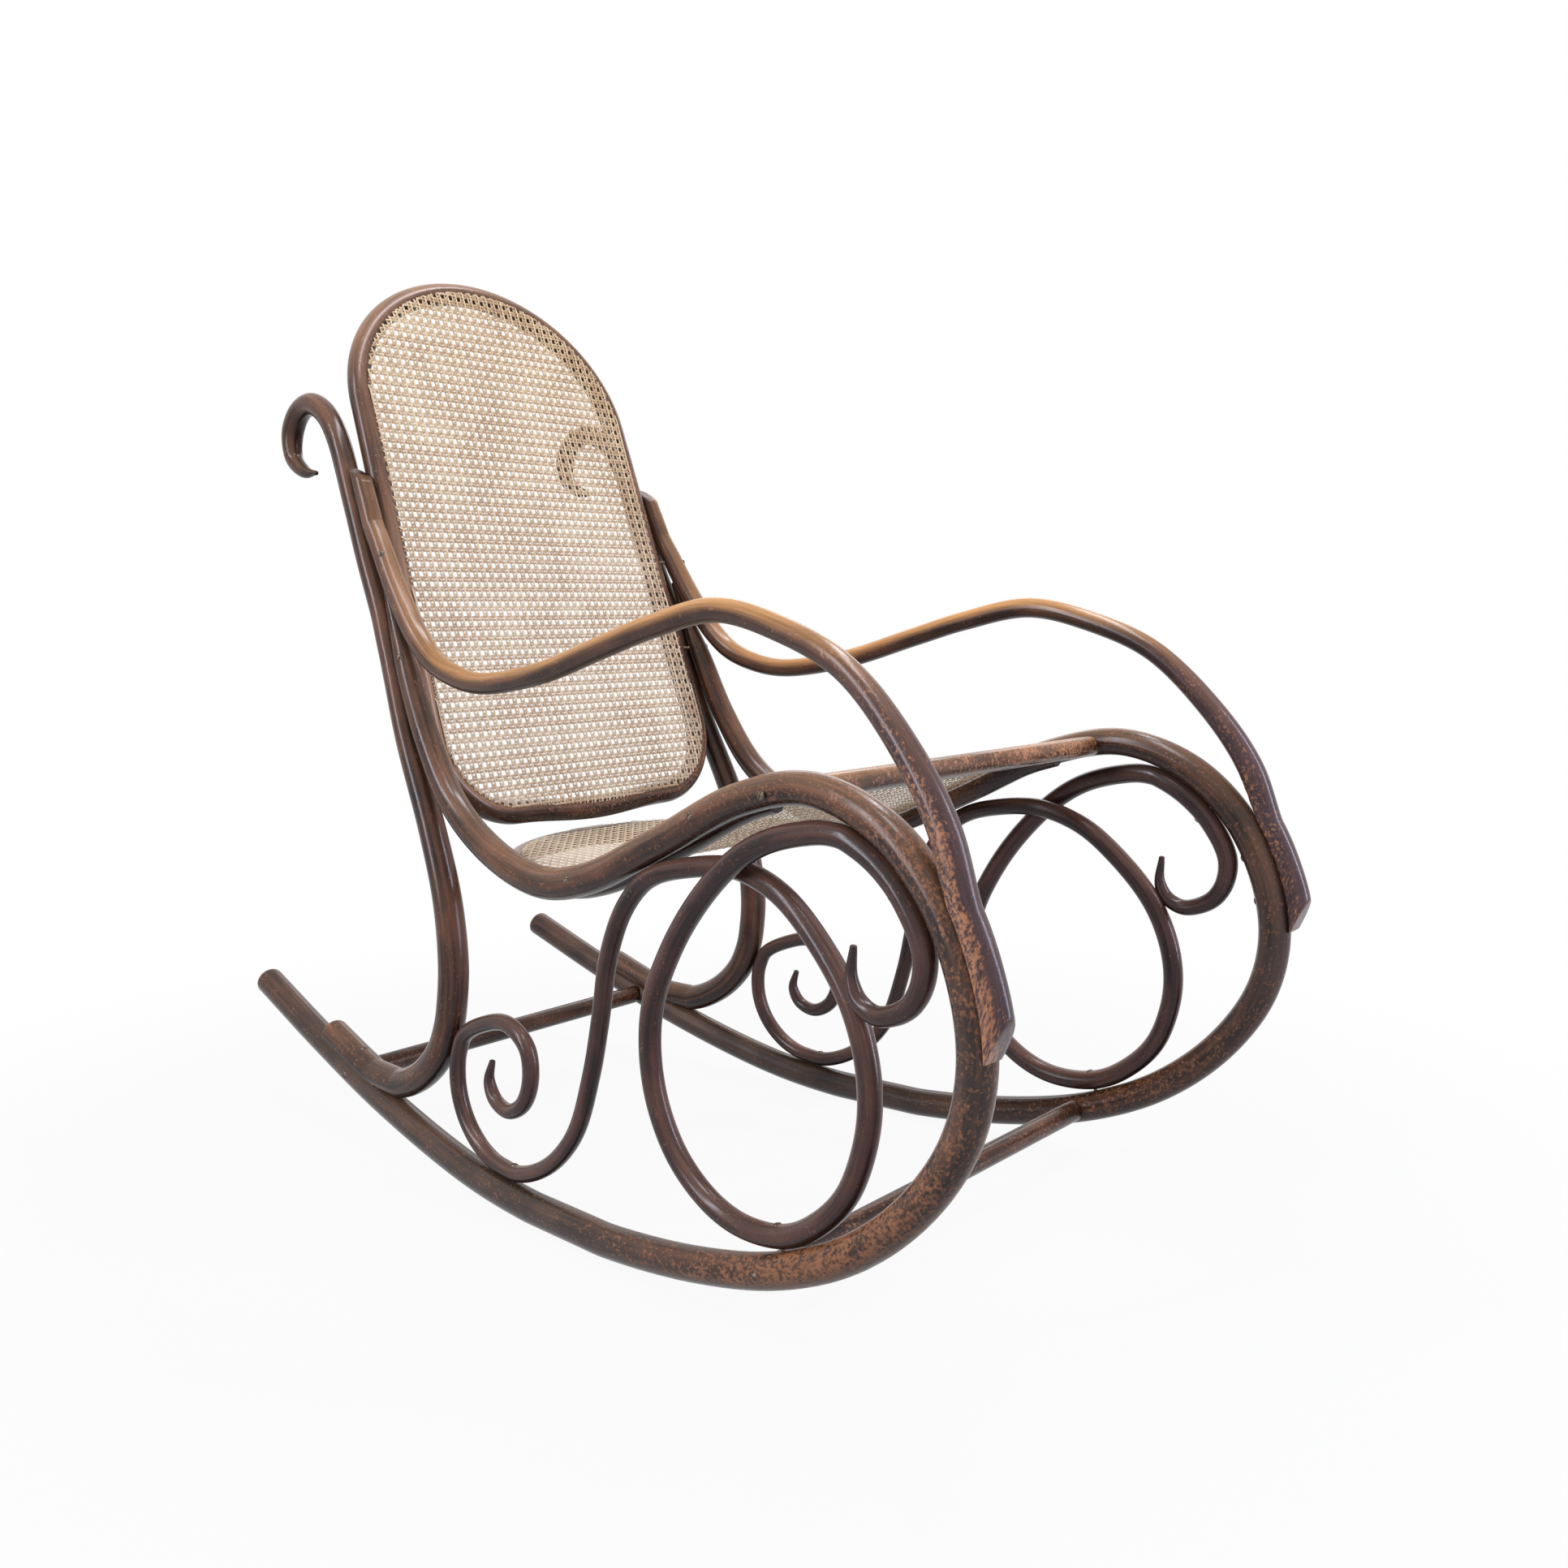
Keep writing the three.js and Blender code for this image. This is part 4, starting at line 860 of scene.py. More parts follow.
# %% [markdown]
# The seat rail keeps its distance to both runner loops and closes in two quarter ellipses behind the seat.
# Its front ends meet the slanting rear face of the front rail: the points of each end ring slide along the
# rod until they lie on that face. A Boolean cut would do it too, but it leaves uneven triangles.

# %% Seat rail
SEAT_TURN, SEAT_REAR = 0.004, -0.186
SEAT_RAIL_DROP = 7
SEAT_STEPS = 60
END_RINGS_DROPPED = 4


def seat_rail_line():
    """From the left front end straight along the frame, round a quarter ellipse behind the seat, and back."""
    turn_x, rear_x = SEAT_TURN * CHAIR[0], SEAT_REAR * CHAIR[0]
    x = np.linspace(rail_rear[0], turn_x, SEAT_STEPS)
    z = seat_side.height(x) - SEAT_RAIL_DROP
    y = frame_reach(x, z) - seat_side.radius(x) - BENT_TOUCH - SEAT_RAIL / 2
    turn = np.linspace(0, np.pi / 2, SEAT_STEPS)[1:]
    bend = np.column_stack([
        turn_x - (turn_x - rear_x) * np.sin(turn), y[-1] * np.cos(turn), np.full(len(turn), z[-1]),
    ])
    left = np.vstack([np.column_stack([x, y, z]), bend])
    return fair(np.vstack([left, left[:-1][::-1] * [1, -1, 1]]))


SEAT_FINISH = {
    "gold": [(0, 0.3), (0.25, 0.2), (0.5, 0.1), (0.75, 0.7), (0.9, 0.9), (1, 0.8)],
    "wear": [(0, 0.25), (0.3, 0.15), (0.7, 0.1), (1, 0.2)],
    "grey": [(0, 0.1), (0.5, 0.35), (1, 0.1)],
}
seat_line = seat_rail_line()
rings, along = rings_of(seat_line, np.full(len(seat_line), SEAT_RAIL / 2), UPWARDS)
for row in (0, -1):
    reach = (rail_rear - rings[row, :, PLACE]) @ rail_along / (along[row] @ rail_along)
    rings[row, :, PLACE] += along[row] * reach[:, None]
kept = np.r_[0, END_RINGS_DROPPED:len(rings) - END_RINGS_DROPPED, len(rings) - 1]
points, faces = capped(rings[kept], along[kept], {0: True, -1: True})
values = finish(points, SEAT_FINISH, seed=15)
wood_pieces.append(make_piece("bent_seat_rail", points[:, PLACE], faces, values, ["seat_rail"]))

# %% [markdown]
# The front rail and the stretchers end in saddles that fit round the runner loops. Nothing is cut for them:
# each line along a bar stops where the round loop begins.

# %% Cross bars
BAR_RINGS, BAR_SIDES = 60, 40
RAIL_POWER = 3.4
SADDLE_LIMIT = 0.93


def bar_piece(name, section, middle, along, up, rod_middle, rod_radius, tables, seed):
    """A bar across the chair. Every line along it runs between two runner loops and stops on their round
    inner sides: at half the spacing less the square root of r^2 - d^2, where d is how far the line passes
    above or below the loop's middle, and at most SADDLE_LIMIT of r."""
    flat = middle + section[:, :1] * along + section[:, 1:] * up
    d = np.clip((flat - rod_middle) @ up, -SADDLE_LIMIT * rod_radius, SADDLE_LIMIT * rod_radius)
    end = frame_reach(flat[:, 0], flat[:, 2]) - np.sqrt(rod_radius**2 - d**2) - TOUCH
    t = np.linspace(-1, 1, BAR_RINGS)[:, None]
    places = np.broadcast_to(flat, (BAR_RINGS, *flat.shape)).copy()
    places[..., 1] = t * end
    count = places.shape[:2]
    cross = np.broadcast_to(section, (*count, 2))
    outward_dir = unit(np.broadcast_to(flat - middle, places.shape))
    share = np.broadcast_to((t + 1) / 2, count)
    rings = np.dstack([places, cross, places[..., 1], outward_dir, share])
    points, faces = capped(rings, np.broadcast_to(ACROSS, (BAR_RINGS, 3)), {0: True, -1: True})
    return make_piece(f"turned_{name}", points[:, PLACE], faces, finish(points, tables, seed), [name])


def superellipse(width, height, power):
    """Closed section |x / a|^p + |y / b|^p = 1: a rounded rectangle for a large power, an ellipse for two."""
    angle = np.linspace(0, 2 * np.pi, BAR_SIDES, endpoint=False)
    shape = np.column_stack([np.cos(angle), np.sin(angle)])
    return np.sign(shape) * abs(shape) ** (2 / power) * [width / 2, height / 2]


RAIL_FINISH = {
    "gold": [(0, 0.6), (0.4, 0.35), (0.5, 0.3), (1, 0.45)],
    "wear": [(0, 0.3), (0.3, 0.3), (0.7, 0.5), (1, 0.55)],
    "grey": [(0, 0.4), (1, 0.1)],
}
STRETCHER_FINISH = {
    "gold": [(0, 0.12), (1, 0.15)],
    "wear": [(0, 0.3), (0.5, 0.2), (1, 0.35)],
    "grey": [(0, 0.3), (1, 0.2)],
}
rail_section = superellipse(FRONT_RAIL_DEPTH, FRONT_RAIL_HEIGHT, RAIL_POWER)
wood_pieces.append(bar_piece(
    "front_rail", rail_section, rail_middle, rail_along, rail_up,
    rail_middle + rail_up * FRONT_RAIL_DROP, ARCH / 2, RAIL_FINISH, 17,
))
round_section = superellipse(STRETCHER, STRETCHER, 2)
floor_line = runner.line[:nearest(runner.line, placed(FRONT[5]))[1][0] + 1]
stretchers = (("front_stretcher", FRONT_STRETCHER_SHARE, 19), ("rear_stretcher", REAR_STRETCHER_SHARE, 20))
for name, share, seed in stretchers:
    x = share * CHAIR[0]
    foot, index, _ = nearest(floor_line, np.array([[x, column_at(floor_line, floor_line[:, 1], x)]]))
    slope = unit(floor_line[index[0]] - floor_line[index[0] - 1])
    middle = np.array([foot[0, 0], 0, foot[0, 1]])
    along, up = np.array([slope[0], 0, slope[1]]), np.array([-slope[1], 0, slope[0]])
    wood_pieces.append(bar_piece(
        name, round_section, middle, along, up, middle, RUNNER / 2, STRETCHER_FINISH, seed,
    ))
print(len(wood_pieces), "wooden pieces")

# %% [markdown]
# ## Cane
#
# Chair cane is the shiny skin of rattan, cut into strands about two millimetres wide. The classic weave has
# six strands through every cell: two upright, two level and two slanting, so that each cell leaves an open
# octagon. The upright ones lie behind and in front of the level ones, and each slanting one passes over one
# pair and under the other. Weaving it strand by strand gives the true look from near and far, from both
# sides.

# %% Lines across a loop
def crossings(loop, direction, normal, offsets):
    """Where straight lines cross a convex loop: for each line, the least and the greatest distance along it
    at which an edge of the loop changes sides."""
    along, beside = loop @ direction, loop @ normal
    step, rise = np.roll(along, -1) - along, np.roll(beside, -1) - beside
    change = (beside > offsets[:, None]) != (np.roll(beside, -1) > offsets[:, None])
    safe = np.where(rise == 0, 1, rise)
    at = np.where(change, along + (offsets[:, None] - beside) / safe * step, np.nan)
    inside = change.any(1)
    return offsets[inside], np.nanmin(at[inside], 1), np.nanmax(at[inside], 1)


# %% [markdown]
# A sheet with a picture of the weave would be lighter, but from near it looks flat and its holes have no
# thickness. Here every strand is a half-round ribbon of its own. There are hundreds of them, so each has
# few sides and only as many samples as it needs to bend.

# %% Strands
STRAND_HALF = 0.25
STRAND_DRIFT = 0.12
END_DIP, DIP_LENGTH = 1.3, 4
GRAIN_SHIFT = 97
SECTION = np.array([[-1, -0.2], [-0.62, 0.75], [0, 1], [0.62, 0.75], [1, -0.2], [0, -1]])
rng = np.random.default_rng(7)


def strands(loop, angle, offsets, step, level, width, age):
    """Ribbons along straight lines at one angle. Each line is sampled on one shared grid, clipped to where
    it enters and leaves the loop, and a six-sided half-round section is carried along it. level gives the
    height of the ribbon's middle at a place; near both ends it dips towards the wood. Each strand has one
    tone, drawn between the two bounds in age."""
    section = SECTION * [width / 2, STRAND_HALF]
    direction = np.array([np.cos(angle), np.sin(angle)])
    normal = np.array([-direction[1], direction[0]])
    offsets, start, end = crossings(loop, direction, normal, offsets)
    long = end - start > 2 * DIP_LENGTH
    offsets, start, end = offsets[long], start[long], end[long]
    grid = np.arange(np.floor(start.min() / step), np.ceil(end.max() / step) + 1) * step
    at = np.clip(grid, start[:, None], end[:, None])
    first = (grid <= start[:, None]).sum(1) - 1
    last = (grid < end[:, None]).sum(1)
    drift = rng.uniform(-STRAND_DRIFT, STRAND_DRIFT, len(offsets))
    middle = at[..., None] * direction + (offsets + drift)[:, None, None] * normal
    near_end = np.minimum(at - start[:, None], end[:, None] - at)
    height = level(middle) - END_DIP * (1 - smoothstep(near_end, 0, DIP_LENGTH))
    flat = middle[:, :, None] + section[:, :1] * normal
    height = height[..., None] + section[:, 1]
    lines, samples, sides = height.shape
    index = np.arange(lines * samples * sides).reshape(lines, samples, sides)
    right = np.roll(index, -1, axis=2)
    span = np.arange(samples - 1)
    real = (span >= first[:, None]) & (span < last[:, None])
    quads = np.stack([index[:, :-1], right[:, :-1], right[:, 1:], index[:, 1:]], axis=-1)[real].reshape(-1, 4)
    rows = np.arange(lines)
    caps = np.vstack([index[rows, first][:, ::-1], index[rows, last]])
    tone = np.broadcast_to(rng.uniform(*age, lines)[:, None, None], height.shape)
    run = np.broadcast_to(at[..., None], height.shape)
    beside = np.broadcast_to(offsets[:, None, None] + section[:, 0], height.shape)
    used, faces = np.unique(np.concatenate([quads.ravel(), caps.ravel()]), return_inverse=True)
    quads, caps = faces[:quads.size].reshape(-1, 4), faces[quads.size:].reshape(-1, sides)
    run, beside, tone = (value.ravel()[used] for value in (run, beside, tone))
    values = {"tone": tone, "grain": np.column_stack([run, beside, tone * GRAIN_SHIFT]) * MM}
    return flat.reshape(-1, 2)[used], height.ravel()[used], [quads, caps], values


# %% [markdown]
# The height of each strand at each crossing makes it a weave. The upright strands stay behind or in front,
# the level ones lie between them, and the slanting ones rise over one pair and dip under the other.

# %% The six-way weave
PITCH = 11.1
STRAND_WIDTH, SLANT_WIDTH = 2.3, 1.5
PAIR_OFFSET = 1.8
LEVEL = 0.5
WAVE_STEEPNESS = 1.7
SLANT_MIDDLE, SLANT_SWING = 0.5, 1.5
SLANT_SAMPLES = 6


def weave(node, loop, bend):
    """The six-way weave inside a loop, as four pieces: upright, level and two slanting sets of strands."""
    middle = (loop.min(0) + loop.max(0)) / 2
    local = loop - middle
    reach = np.ceil(np.abs(local).max() * np.sqrt(2) / PITCH)
    lines = np.arange(-reach, reach + 1)
    pairs = np.sort(np.concatenate([lines * PITCH - PAIR_OFFSET, lines * PITCH + PAIR_OFFSET]))
    slants = (lines + 0.5) * PITCH / np.sqrt(2)

    def wave(place):
        """1 over the upright pairs and -1 over the level ones: a steep cosine, cut off flat at both."""
        return np.clip(WAVE_STEEPNESS * np.cos(2 * np.pi * place[..., 0] / PITCH), -1, 1)

    def upright(place):
        """Every second upright strand lies behind the level ones and the others in front."""
        side = np.round((place[..., 0] + PAIR_OFFSET) / PITCH) * PITCH - place[..., 0]
        return -LEVEL * np.sign(side)

    def level(place):
        """The level strands lie in the middle."""
        return np.zeros(place.shape[:-1])

    def over(place):
        """The rising strands pass in front of the upright pairs and behind the level ones."""
        return LEVEL * (SLANT_MIDDLE + SLANT_SWING * wave(place))

    def under(place):
        """The falling strands do the opposite."""
        return -over(place)

    quarter, slant_step = np.pi / 4, PITCH * np.sqrt(2) / SLANT_SAMPLES
    families = {
        "upright": (2 * quarter, -pairs[::-1], PITCH, upright, STRAND_WIDTH, (0, 0.7)),
        "level": (0, pairs, PITCH, level, STRAND_WIDTH, (0.7, 1.4)),
        "rising": (quarter, slants, slant_step, over, SLANT_WIDTH, (0.2, 0.9)),
        "falling": (-quarter, slants, slant_step, under, SLANT_WIDTH, (0.2, 0.9)),
    }
    made = []
    for family, setting in families.items():
        flat, height, faces, values = strands(local, *setting)
        places = bend(flat + middle, height)
        piece = make_piece(f"{node}_{family}_strands", places, faces, values, [node], sharp=30)
        made.append(piece)
        print(piece.name, sum(len(group) * (group.shape[1] - 2) for group in faces), "triangles")
    return made


def inset(loop, distance):
    """Moves an anticlockwise loop inwards, square to itself."""
    along = directions(loop, closed=True)
    return loop + np.column_stack([-along[:, 1], along[:, 0]]) * distance


# %% [markdown]
# The back is woven in the hoop's plane and lies on the front of the hoop. The seat is woven flat, and every
# point is then lifted to the height of the runner loop beside it.

# %% Back and seat
BACK_LIP, SEAT_LIP, CANE_THICKNESS = 9.5, 5, 2.4
BACK_RISE = HOOP / 2 + TOUCH + CANE_THICKNESS / 2
SEAT_RISE = SEAT_RAIL / 2 + BENT_TOUCH + CANE_THICKNESS / 2 - SEAT_RAIL_DROP


def on_back(flat, height):
    """A point of the back's weave, put in front of the hoop."""
    return plane.place(flat, BACK_RISE + height)


def on_seat(flat, height):
    """Height of the seat: that of the runner loop at the same distance, level behind the dip."""
    z = seat_side.height(np.maximum(flat[:, 0], SEAT_TURN * CHAIR[0])) + SEAT_RISE + height
    return np.column_stack([flat, z])


def seat_loop():
    """The seat rail's line seen from above, moved inwards, and cut straight behind the front rail."""
    along = unit(directions(seat_line)[:, :2])
    distance = SEAT_RAIL / 2 - SEAT_LIP
    front = rail_rear[0] - (SEAT_RISE + FRONT_RAIL_DROP + CANE_THICKNESS) * rail_along[2] / rail_along[0]
    loop = seat_line[:, :2] + np.column_stack([-along[:, 1], along[:, 0]]) * distance
    loop[:, 0] = np.minimum(loop[:, 0], front)
    return loop


cane_pieces = weave("back_cane", inset(outline, HOOP / 2 - BACK_LIP), on_back)
cane_pieces += weave("seat_cane", seat_loop(), on_seat)

# %% [markdown]
# ## Screws
#
# Wood screws with round slotted heads hold the rods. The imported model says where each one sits, so its axis
# is read from the node's own points: their mean lies on the axis, and the longest direction of their spread
# is the axis itself. The head is wider than the tip, which tells the two ends apart.

# %% Axis of a screw
NODE_HEAD_HEIGHT = 2.6


def screw_axis(node):
    """Returns the place of the head's seat, the axis towards the head and the length below the seat."""
    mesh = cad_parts[node].data
    points = np.zeros(len(mesh.vertices) * 3, np.float32)
    mesh.vertices.foreach_get("co", points)
    points = np.unique(points.reshape(-1, 3).round(6), axis=0).astype(float) / MM
    centre = points.mean(0)
    axis = np.linalg.svd(points - centre)[2][0]
    along = (points - centre) @ axis
    wide = np.linalg.norm(points - centre - along[:, None] * axis, axis=1)
    if (wide * along).sum() < 0:
        axis, along = -axis, -along
    seat = along.max() - NODE_HEAD_HEIGHT
    return centre + axis * seat, axis, seat - along.min()


# %% [markdown]
# The head is a low dome with a slot. A Boolean cut would need cleaning up afterwards, so the dome's rings
# are laid out to stand exactly at the slot's edges and two of them drop to its floor. The shank is hidden
# in the wood and stays simple.

# %% Screws
HEAD_RADIUS, HEAD_HEIGHT, HEAD_RIM = 4, 2.2, 0.15
HEAD_COLUMNS = np.array([-0.97, -0.85, -0.6, -0.3, 0.3, 0.6, 0.85, 0.97]) * HEAD_RADIUS
HEAD_ROWS = np.cos(np.linspace(0, np.pi, 13))
SLOT_WIDTH, SLOT_DEPTH = 1.0, 1.1
SHANK_SIDES = 12
UPRIGHT_AXIS = 0.8

# The shank's top and its pole lie just under the head. Its cone is given from the tip: distance, radius.
SHANK_TOP, SHANK_POLE, SHANK_RADIUS = 0.3, 0.2, 1.9
TIP_CONE = np.array([[5, SHANK_RADIUS], [1.5, 0.8], [0.4, 0.3]])


def head_surface():
    """The head as rings square to its slot: at each x the ring follows the dome over the chord and comes
    back under it. The dome is h * sqrt(1 - (r / R)^2), and at each side of the slot two rings share one x,
    the inner one of them cut down to the slot's floor, so that they make the slot's wall."""
    half = SLOT_WIDTH / 2
    left, right = np.split(HEAD_COLUMNS, 2)
    x = np.concatenate([left, [-half, -half, half, half], right])
    in_slot = np.isin(np.arange(len(x)), [len(left) + 1, len(left) + 2])
    chord = np.sqrt(HEAD_RADIUS**2 - x**2)
    y = chord[:, None] * HEAD_ROWS
    dome = HEAD_HEIGHT * np.sqrt(np.clip(1 - (x[:, None] ** 2 + y**2) / HEAD_RADIUS**2, 0, 1))
    dome = np.where(in_slot[:, None], np.maximum(np.minimum(dome, HEAD_HEIGHT - SLOT_DEPTH), 0), dome)
    over = np.dstack([np.broadcast_to(x[:, None], y.shape), y, dome])
    under = over[:, 1:-1][:, ::-1] * [1, 1, 0] - [0, 0, HEAD_RIM]
    rings = np.concatenate([over, under], axis=1)
    poles = np.array([[-HEAD_RADIUS, 0, 0], [HEAD_RADIUS, 0, 0]])
    return np.vstack([rings.reshape(-1, 3), poles]), closed_faces(*rings.shape[:2])


def shank_surface(length):
    """A shank of revolution below the seat: full radius, then a cone to the tip."""
    z = np.concatenate([[-SHANK_TOP], TIP_CONE[:, 0] - length])[:, None]
    radius = np.concatenate([[SHANK_RADIUS], TIP_CONE[:, 1]])[:, None]
    angle = np.linspace(0, 2 * np.pi, SHANK_SIDES, endpoint=False)
    rings = np.stack([radius * np.cos(angle), radius * np.sin(angle), z + 0 * angle], axis=-1)
    poles = np.array([[0, 0, -SHANK_POLE], [0, 0, -length]])
    return np.vstack([rings.reshape(-1, 3), poles]), closed_faces(*rings.shape[:2])


def screw_piece(node):
    """Head and shank in one mesh, with the slot turned by a random angle about the axis."""
    seat, axis, length = screw_axis(node)
    turn = rng.uniform(0, np.pi)
    side = unit(np.cross(axis, UPWARDS if abs(axis[2]) < UPRIGHT_AXIS else ACROSS))
    slot_dir = side * np.cos(turn) + np.cross(axis, side) * np.sin(turn)
    base = np.stack([slot_dir, np.cross(axis, slot_dir), axis])
    parts, faces, count = [], [], 0
    for points, groups in (head_surface(), shank_surface(length)):
        if volume(points, groups) < 0:
            groups = [group[:, ::-1] for group in groups]
        parts.append(points)
        faces += [group + count for group in groups]
        count += len(points)
    places = seat + np.vstack(parts) @ base - [SHIFT, 0, 0]
    return make_piece(f"slotted_{node}", places, faces, {}, [node], sharp=35)


steel_pieces = [screw_piece(node) for node in sorted(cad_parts) if "_screw_" in node]
print(len(steel_pieces), "screws")

# %% [markdown]
# ## Shader maths in Python
#
# Procedural materials are long sums. One small class wraps the output of a node, so that a sum on values is
# written as a plain expression, and one method makes any other node from its type, settings and sockets.

# %% Shader expressions
class Wire:
    """A node's output. Sums and products of wires and numbers add Math nodes; node() adds any other node."""

    def __init__(self, tree, socket=None):
        self.tree, self.socket = tree, socket

    def node(self, kind, settings, sockets, output=0):
        """Settings are set first. A socket takes a number, a colour or vector, or another wire."""
        made = self.tree.nodes.new("ShaderNode" + kind)
        for key, value in settings.items():
            setattr(made, key, value)
        for key, value in sockets.items():
            if isinstance(value, Wire):
                self.tree.links.new(value.socket, made.inputs[key])
            else:
                made.inputs[key].default_value = value
        return Wire(self.tree, made.outputs[output])

    def math(self, operation, a, b):
        """One Math node on two values."""
        return self.node("Math", {"operation": operation}, {0: a, 1: b})

    def __add__(self, other):
        return self.math("ADD", self, other)

    def __sub__(self, other):
        return self.math("SUBTRACT", self, other)

    def __rsub__(self, other):
        return self.math("SUBTRACT", other, self)

    def __mul__(self, other):
        return self.math("MULTIPLY", self, other)

    __radd__, __rmul__ = __add__, __mul__

    def greater(self, other):
        """The greater of two values."""
        return self.math("MAXIMUM", self, other)

    def step(self, low, high, to_low=0.0, to_high=1.0):
        """A smooth step from one value to another between two bounds."""
        return self.node("MapRange", {"interpolation_type": "SMOOTHSTEP"}, {
            "Value": self, "From Min": low, "From Max": high, "To Min": to_low, "To Max": to_high,
        })

    def mix(self, a, b):
        """Colour a where this wire is 0 and b where it is 1."""
        return self.node("Mix", {"data_type": "RGBA"}, {0: self, 6: a, 7: b}, output=2)

    def stretch(self, scale):
        """A vector times a vector."""
        return self.node("VectorMath", {"operation": "MULTIPLY"}, {0: self, 1: scale})

    def noise(self, scale, detail=3.0, roughness=0.5):
        """Noise over this vector, from 0 to 1."""
        sockets = {"Vector": self, "Scale": scale, "Detail": detail, "Roughness": roughness}
        return self.node("TexNoise", {}, sockets)

    def bump(self, distance, strength=1.0):
        """A normal from this height."""
        return self.node("Bump", {}, {"Height": self, "Distance": distance, "Strength": strength})


# %% [markdown]
# Colours are given as on a screen, from 0 to 255, and turned into linear light. Every material is a
# Principled shader: what is the same all over a piece goes on its sockets as numbers, and only what varies
# gets nodes.

# %% Colours and materials
def linear(red, green, blue):
    """From 0 to 255, as on a screen, to the linear light of a shader: (c + 0.055) / 1.055, to the power 2.4,
    and c / 12.92 for the darkest values."""
    c = np.array([red, green, blue]) / 255
    return (*np.where(c <= 0.04045, c / 12.92, ((c + 0.055) / 1.055) ** 2.4), 1.0)


def material(name, build, constants):
    """A new material on a Principled shader: constants go on its own sockets, and build returns the rest."""
    made = bpy.data.materials.new(name)
    made.use_nodes = True
    tree = made.node_tree
    shader = tree.nodes["Principled BSDF"]
    for key, value in constants.items():
        shader.inputs[key].default_value = value
    for key, value in build(Wire(tree)).items():
        tree.links.new(value.socket, shader.inputs[key])
    return made


# %% [markdown]
# ## Varnished beech
#
# Under the varnish lies stained beech: fine grain along the rod, darker and redder in places. The golden
# attribute brings up the rubbed, translucent varnish and a painted highlight on the upper side, and the
# under attribute paints shade on the lower side. Where hands and feet wore the varnish thin, soft flecks of
# orange wood show through it, fine ones first and broad ones where the wear is strong. Worn wood is duller,
# and greyed varnish is the colder finish on the tails and the bends.

# %% Varnished wood
SPECK_SCALE, PATCH_SCALE = 360.0, 70.0
FIBRE_SCALE, STREAK_SCALE, CLOUD_SCALE = 700.0, 170.0, 15.0
AMOUNTS = ("gold", "wear", "grey", "under")


def varnished_wood(dark, brown, gold, worn, grey):
    """Builds the colours of one wood from five named stains."""
    def build(wire):
        grain = wire.node("Attribute", {"attribute_name": "grain"}, {}, output=1)
        amount = {key: wire.node("Attribute", {"attribute_name": key}, {}, output=2) for key in AMOUNTS}
        fibres = grain.stretch((1.0, 1.0, 0.03)).noise(FIBRE_SCALE, 4.0, 0.6)
        streaks = grain.stretch((1.0, 1.0, 0.05)).noise(STREAK_SCALE, 3.0, 0.55)
        clouds = grain.noise(CLOUD_SCALE, 3.0, 0.6)
        specks = grain.stretch((1.0, 1.0, 0.8)).noise(SPECK_SCALE, 3.0, 0.6)
        patches = grain.stretch((1.0, 1.0, 0.6)).noise(PATCH_SCALE, 4.0, 0.6)
        body = (streaks * 0.7 + clouds * 0.5).step(0.44, 0.82).mix(dark, brown)
        body = (amount["grey"] * (clouds * 0.8 + 0.4)).step(0.1, 0.9, 0.0, 0.7).mix(body, grey)
        # Rubbed golden varnish, and a painted highlight on the upper side of each rod.
        body = (amount["gold"] * (streaks * 0.5 + 0.75)).step(0.05, 0.95).mix(body, gold)
        body = fibres.step(0.36, 0.66, 0.0, 0.3).mix(body, dark)
        thin = specks * 0.85 + patches * 0.35 + amount["wear"] * 0.32
        mask = thin.step(0.7, 0.94, 0.0, 0.85)
        body = mask.mix(body, worn)
        # Painted shade on the lower side of each rod, towards the dark stain.
        body = (amount["under"] * (clouds * 0.4 + 0.7)).mix(body, dark)
        return {
            "Base Color": body,
            "Roughness": 0.16 + mask * 0.2 + clouds * 0.14,
            "Normal": (fibres * 0.25 - mask * 0.5 + patches * 0.5).bump(0.0003, 0.6),
        }
    return build


# %% [markdown]
# Three stains are enough for the whole chair. The arms and the front rail are the lightest, the scrolls are
# redder, and all other rods are dark. A weak and slightly blue reflection keeps the old varnish from
# looking like plastic.

# %% Three stains
SHINE = {"Specular IOR Level": 0.3, "Specular Tint": (0.88, 0.9, 1.0, 1.0)}
# The gold colour of each stain serves both the rubbed varnish and a painted highlight.
dark_wood = material("varnished beech", varnished_wood(
    dark=linear(32, 22, 19), brown=linear(112, 72, 52), gold=linear(188, 146, 116), worn=linear(160, 108, 76),
    grey=linear(78, 70, 66),
), SHINE)
arm_wood = material("rubbed beech", varnished_wood(
    dark=linear(40, 26, 24), brown=linear(116, 78, 58), gold=linear(206, 152, 98), worn=linear(192, 134, 98),
    grey=linear(86, 70, 80),
), SHINE)
scroll_wood = material("reddish beech", varnished_wood(
    dark=linear(34, 23, 22), brown=linear(98, 62, 52), gold=linear(180, 138, 120), worn=linear(150, 104, 82),
    grey=linear(88, 72, 70),
), SHINE)
looks = {"scroll": scroll_wood, "arm": arm_wood, "front_rail": arm_wood}
for piece in wood_pieces:
    look = next((looks[part] for part in looks if part in piece.name), dark_wood)
    piece.data.materials.append(look)
print("wood on", len(wood_pieces), "pieces")

# %% [markdown]
# ## Cane and screws
#
# A strand of cane is smooth and hard on its rounded side. Every strand has its own tone, and age has
# browned them unevenly. The screws are old steel: dark, with small brown spots.

# %% Cane and steel
CANE_CLOUD_SCALE, CANE_FIBRE_SCALE = 13.0, 900.0
RUST_SCALE = 900.0


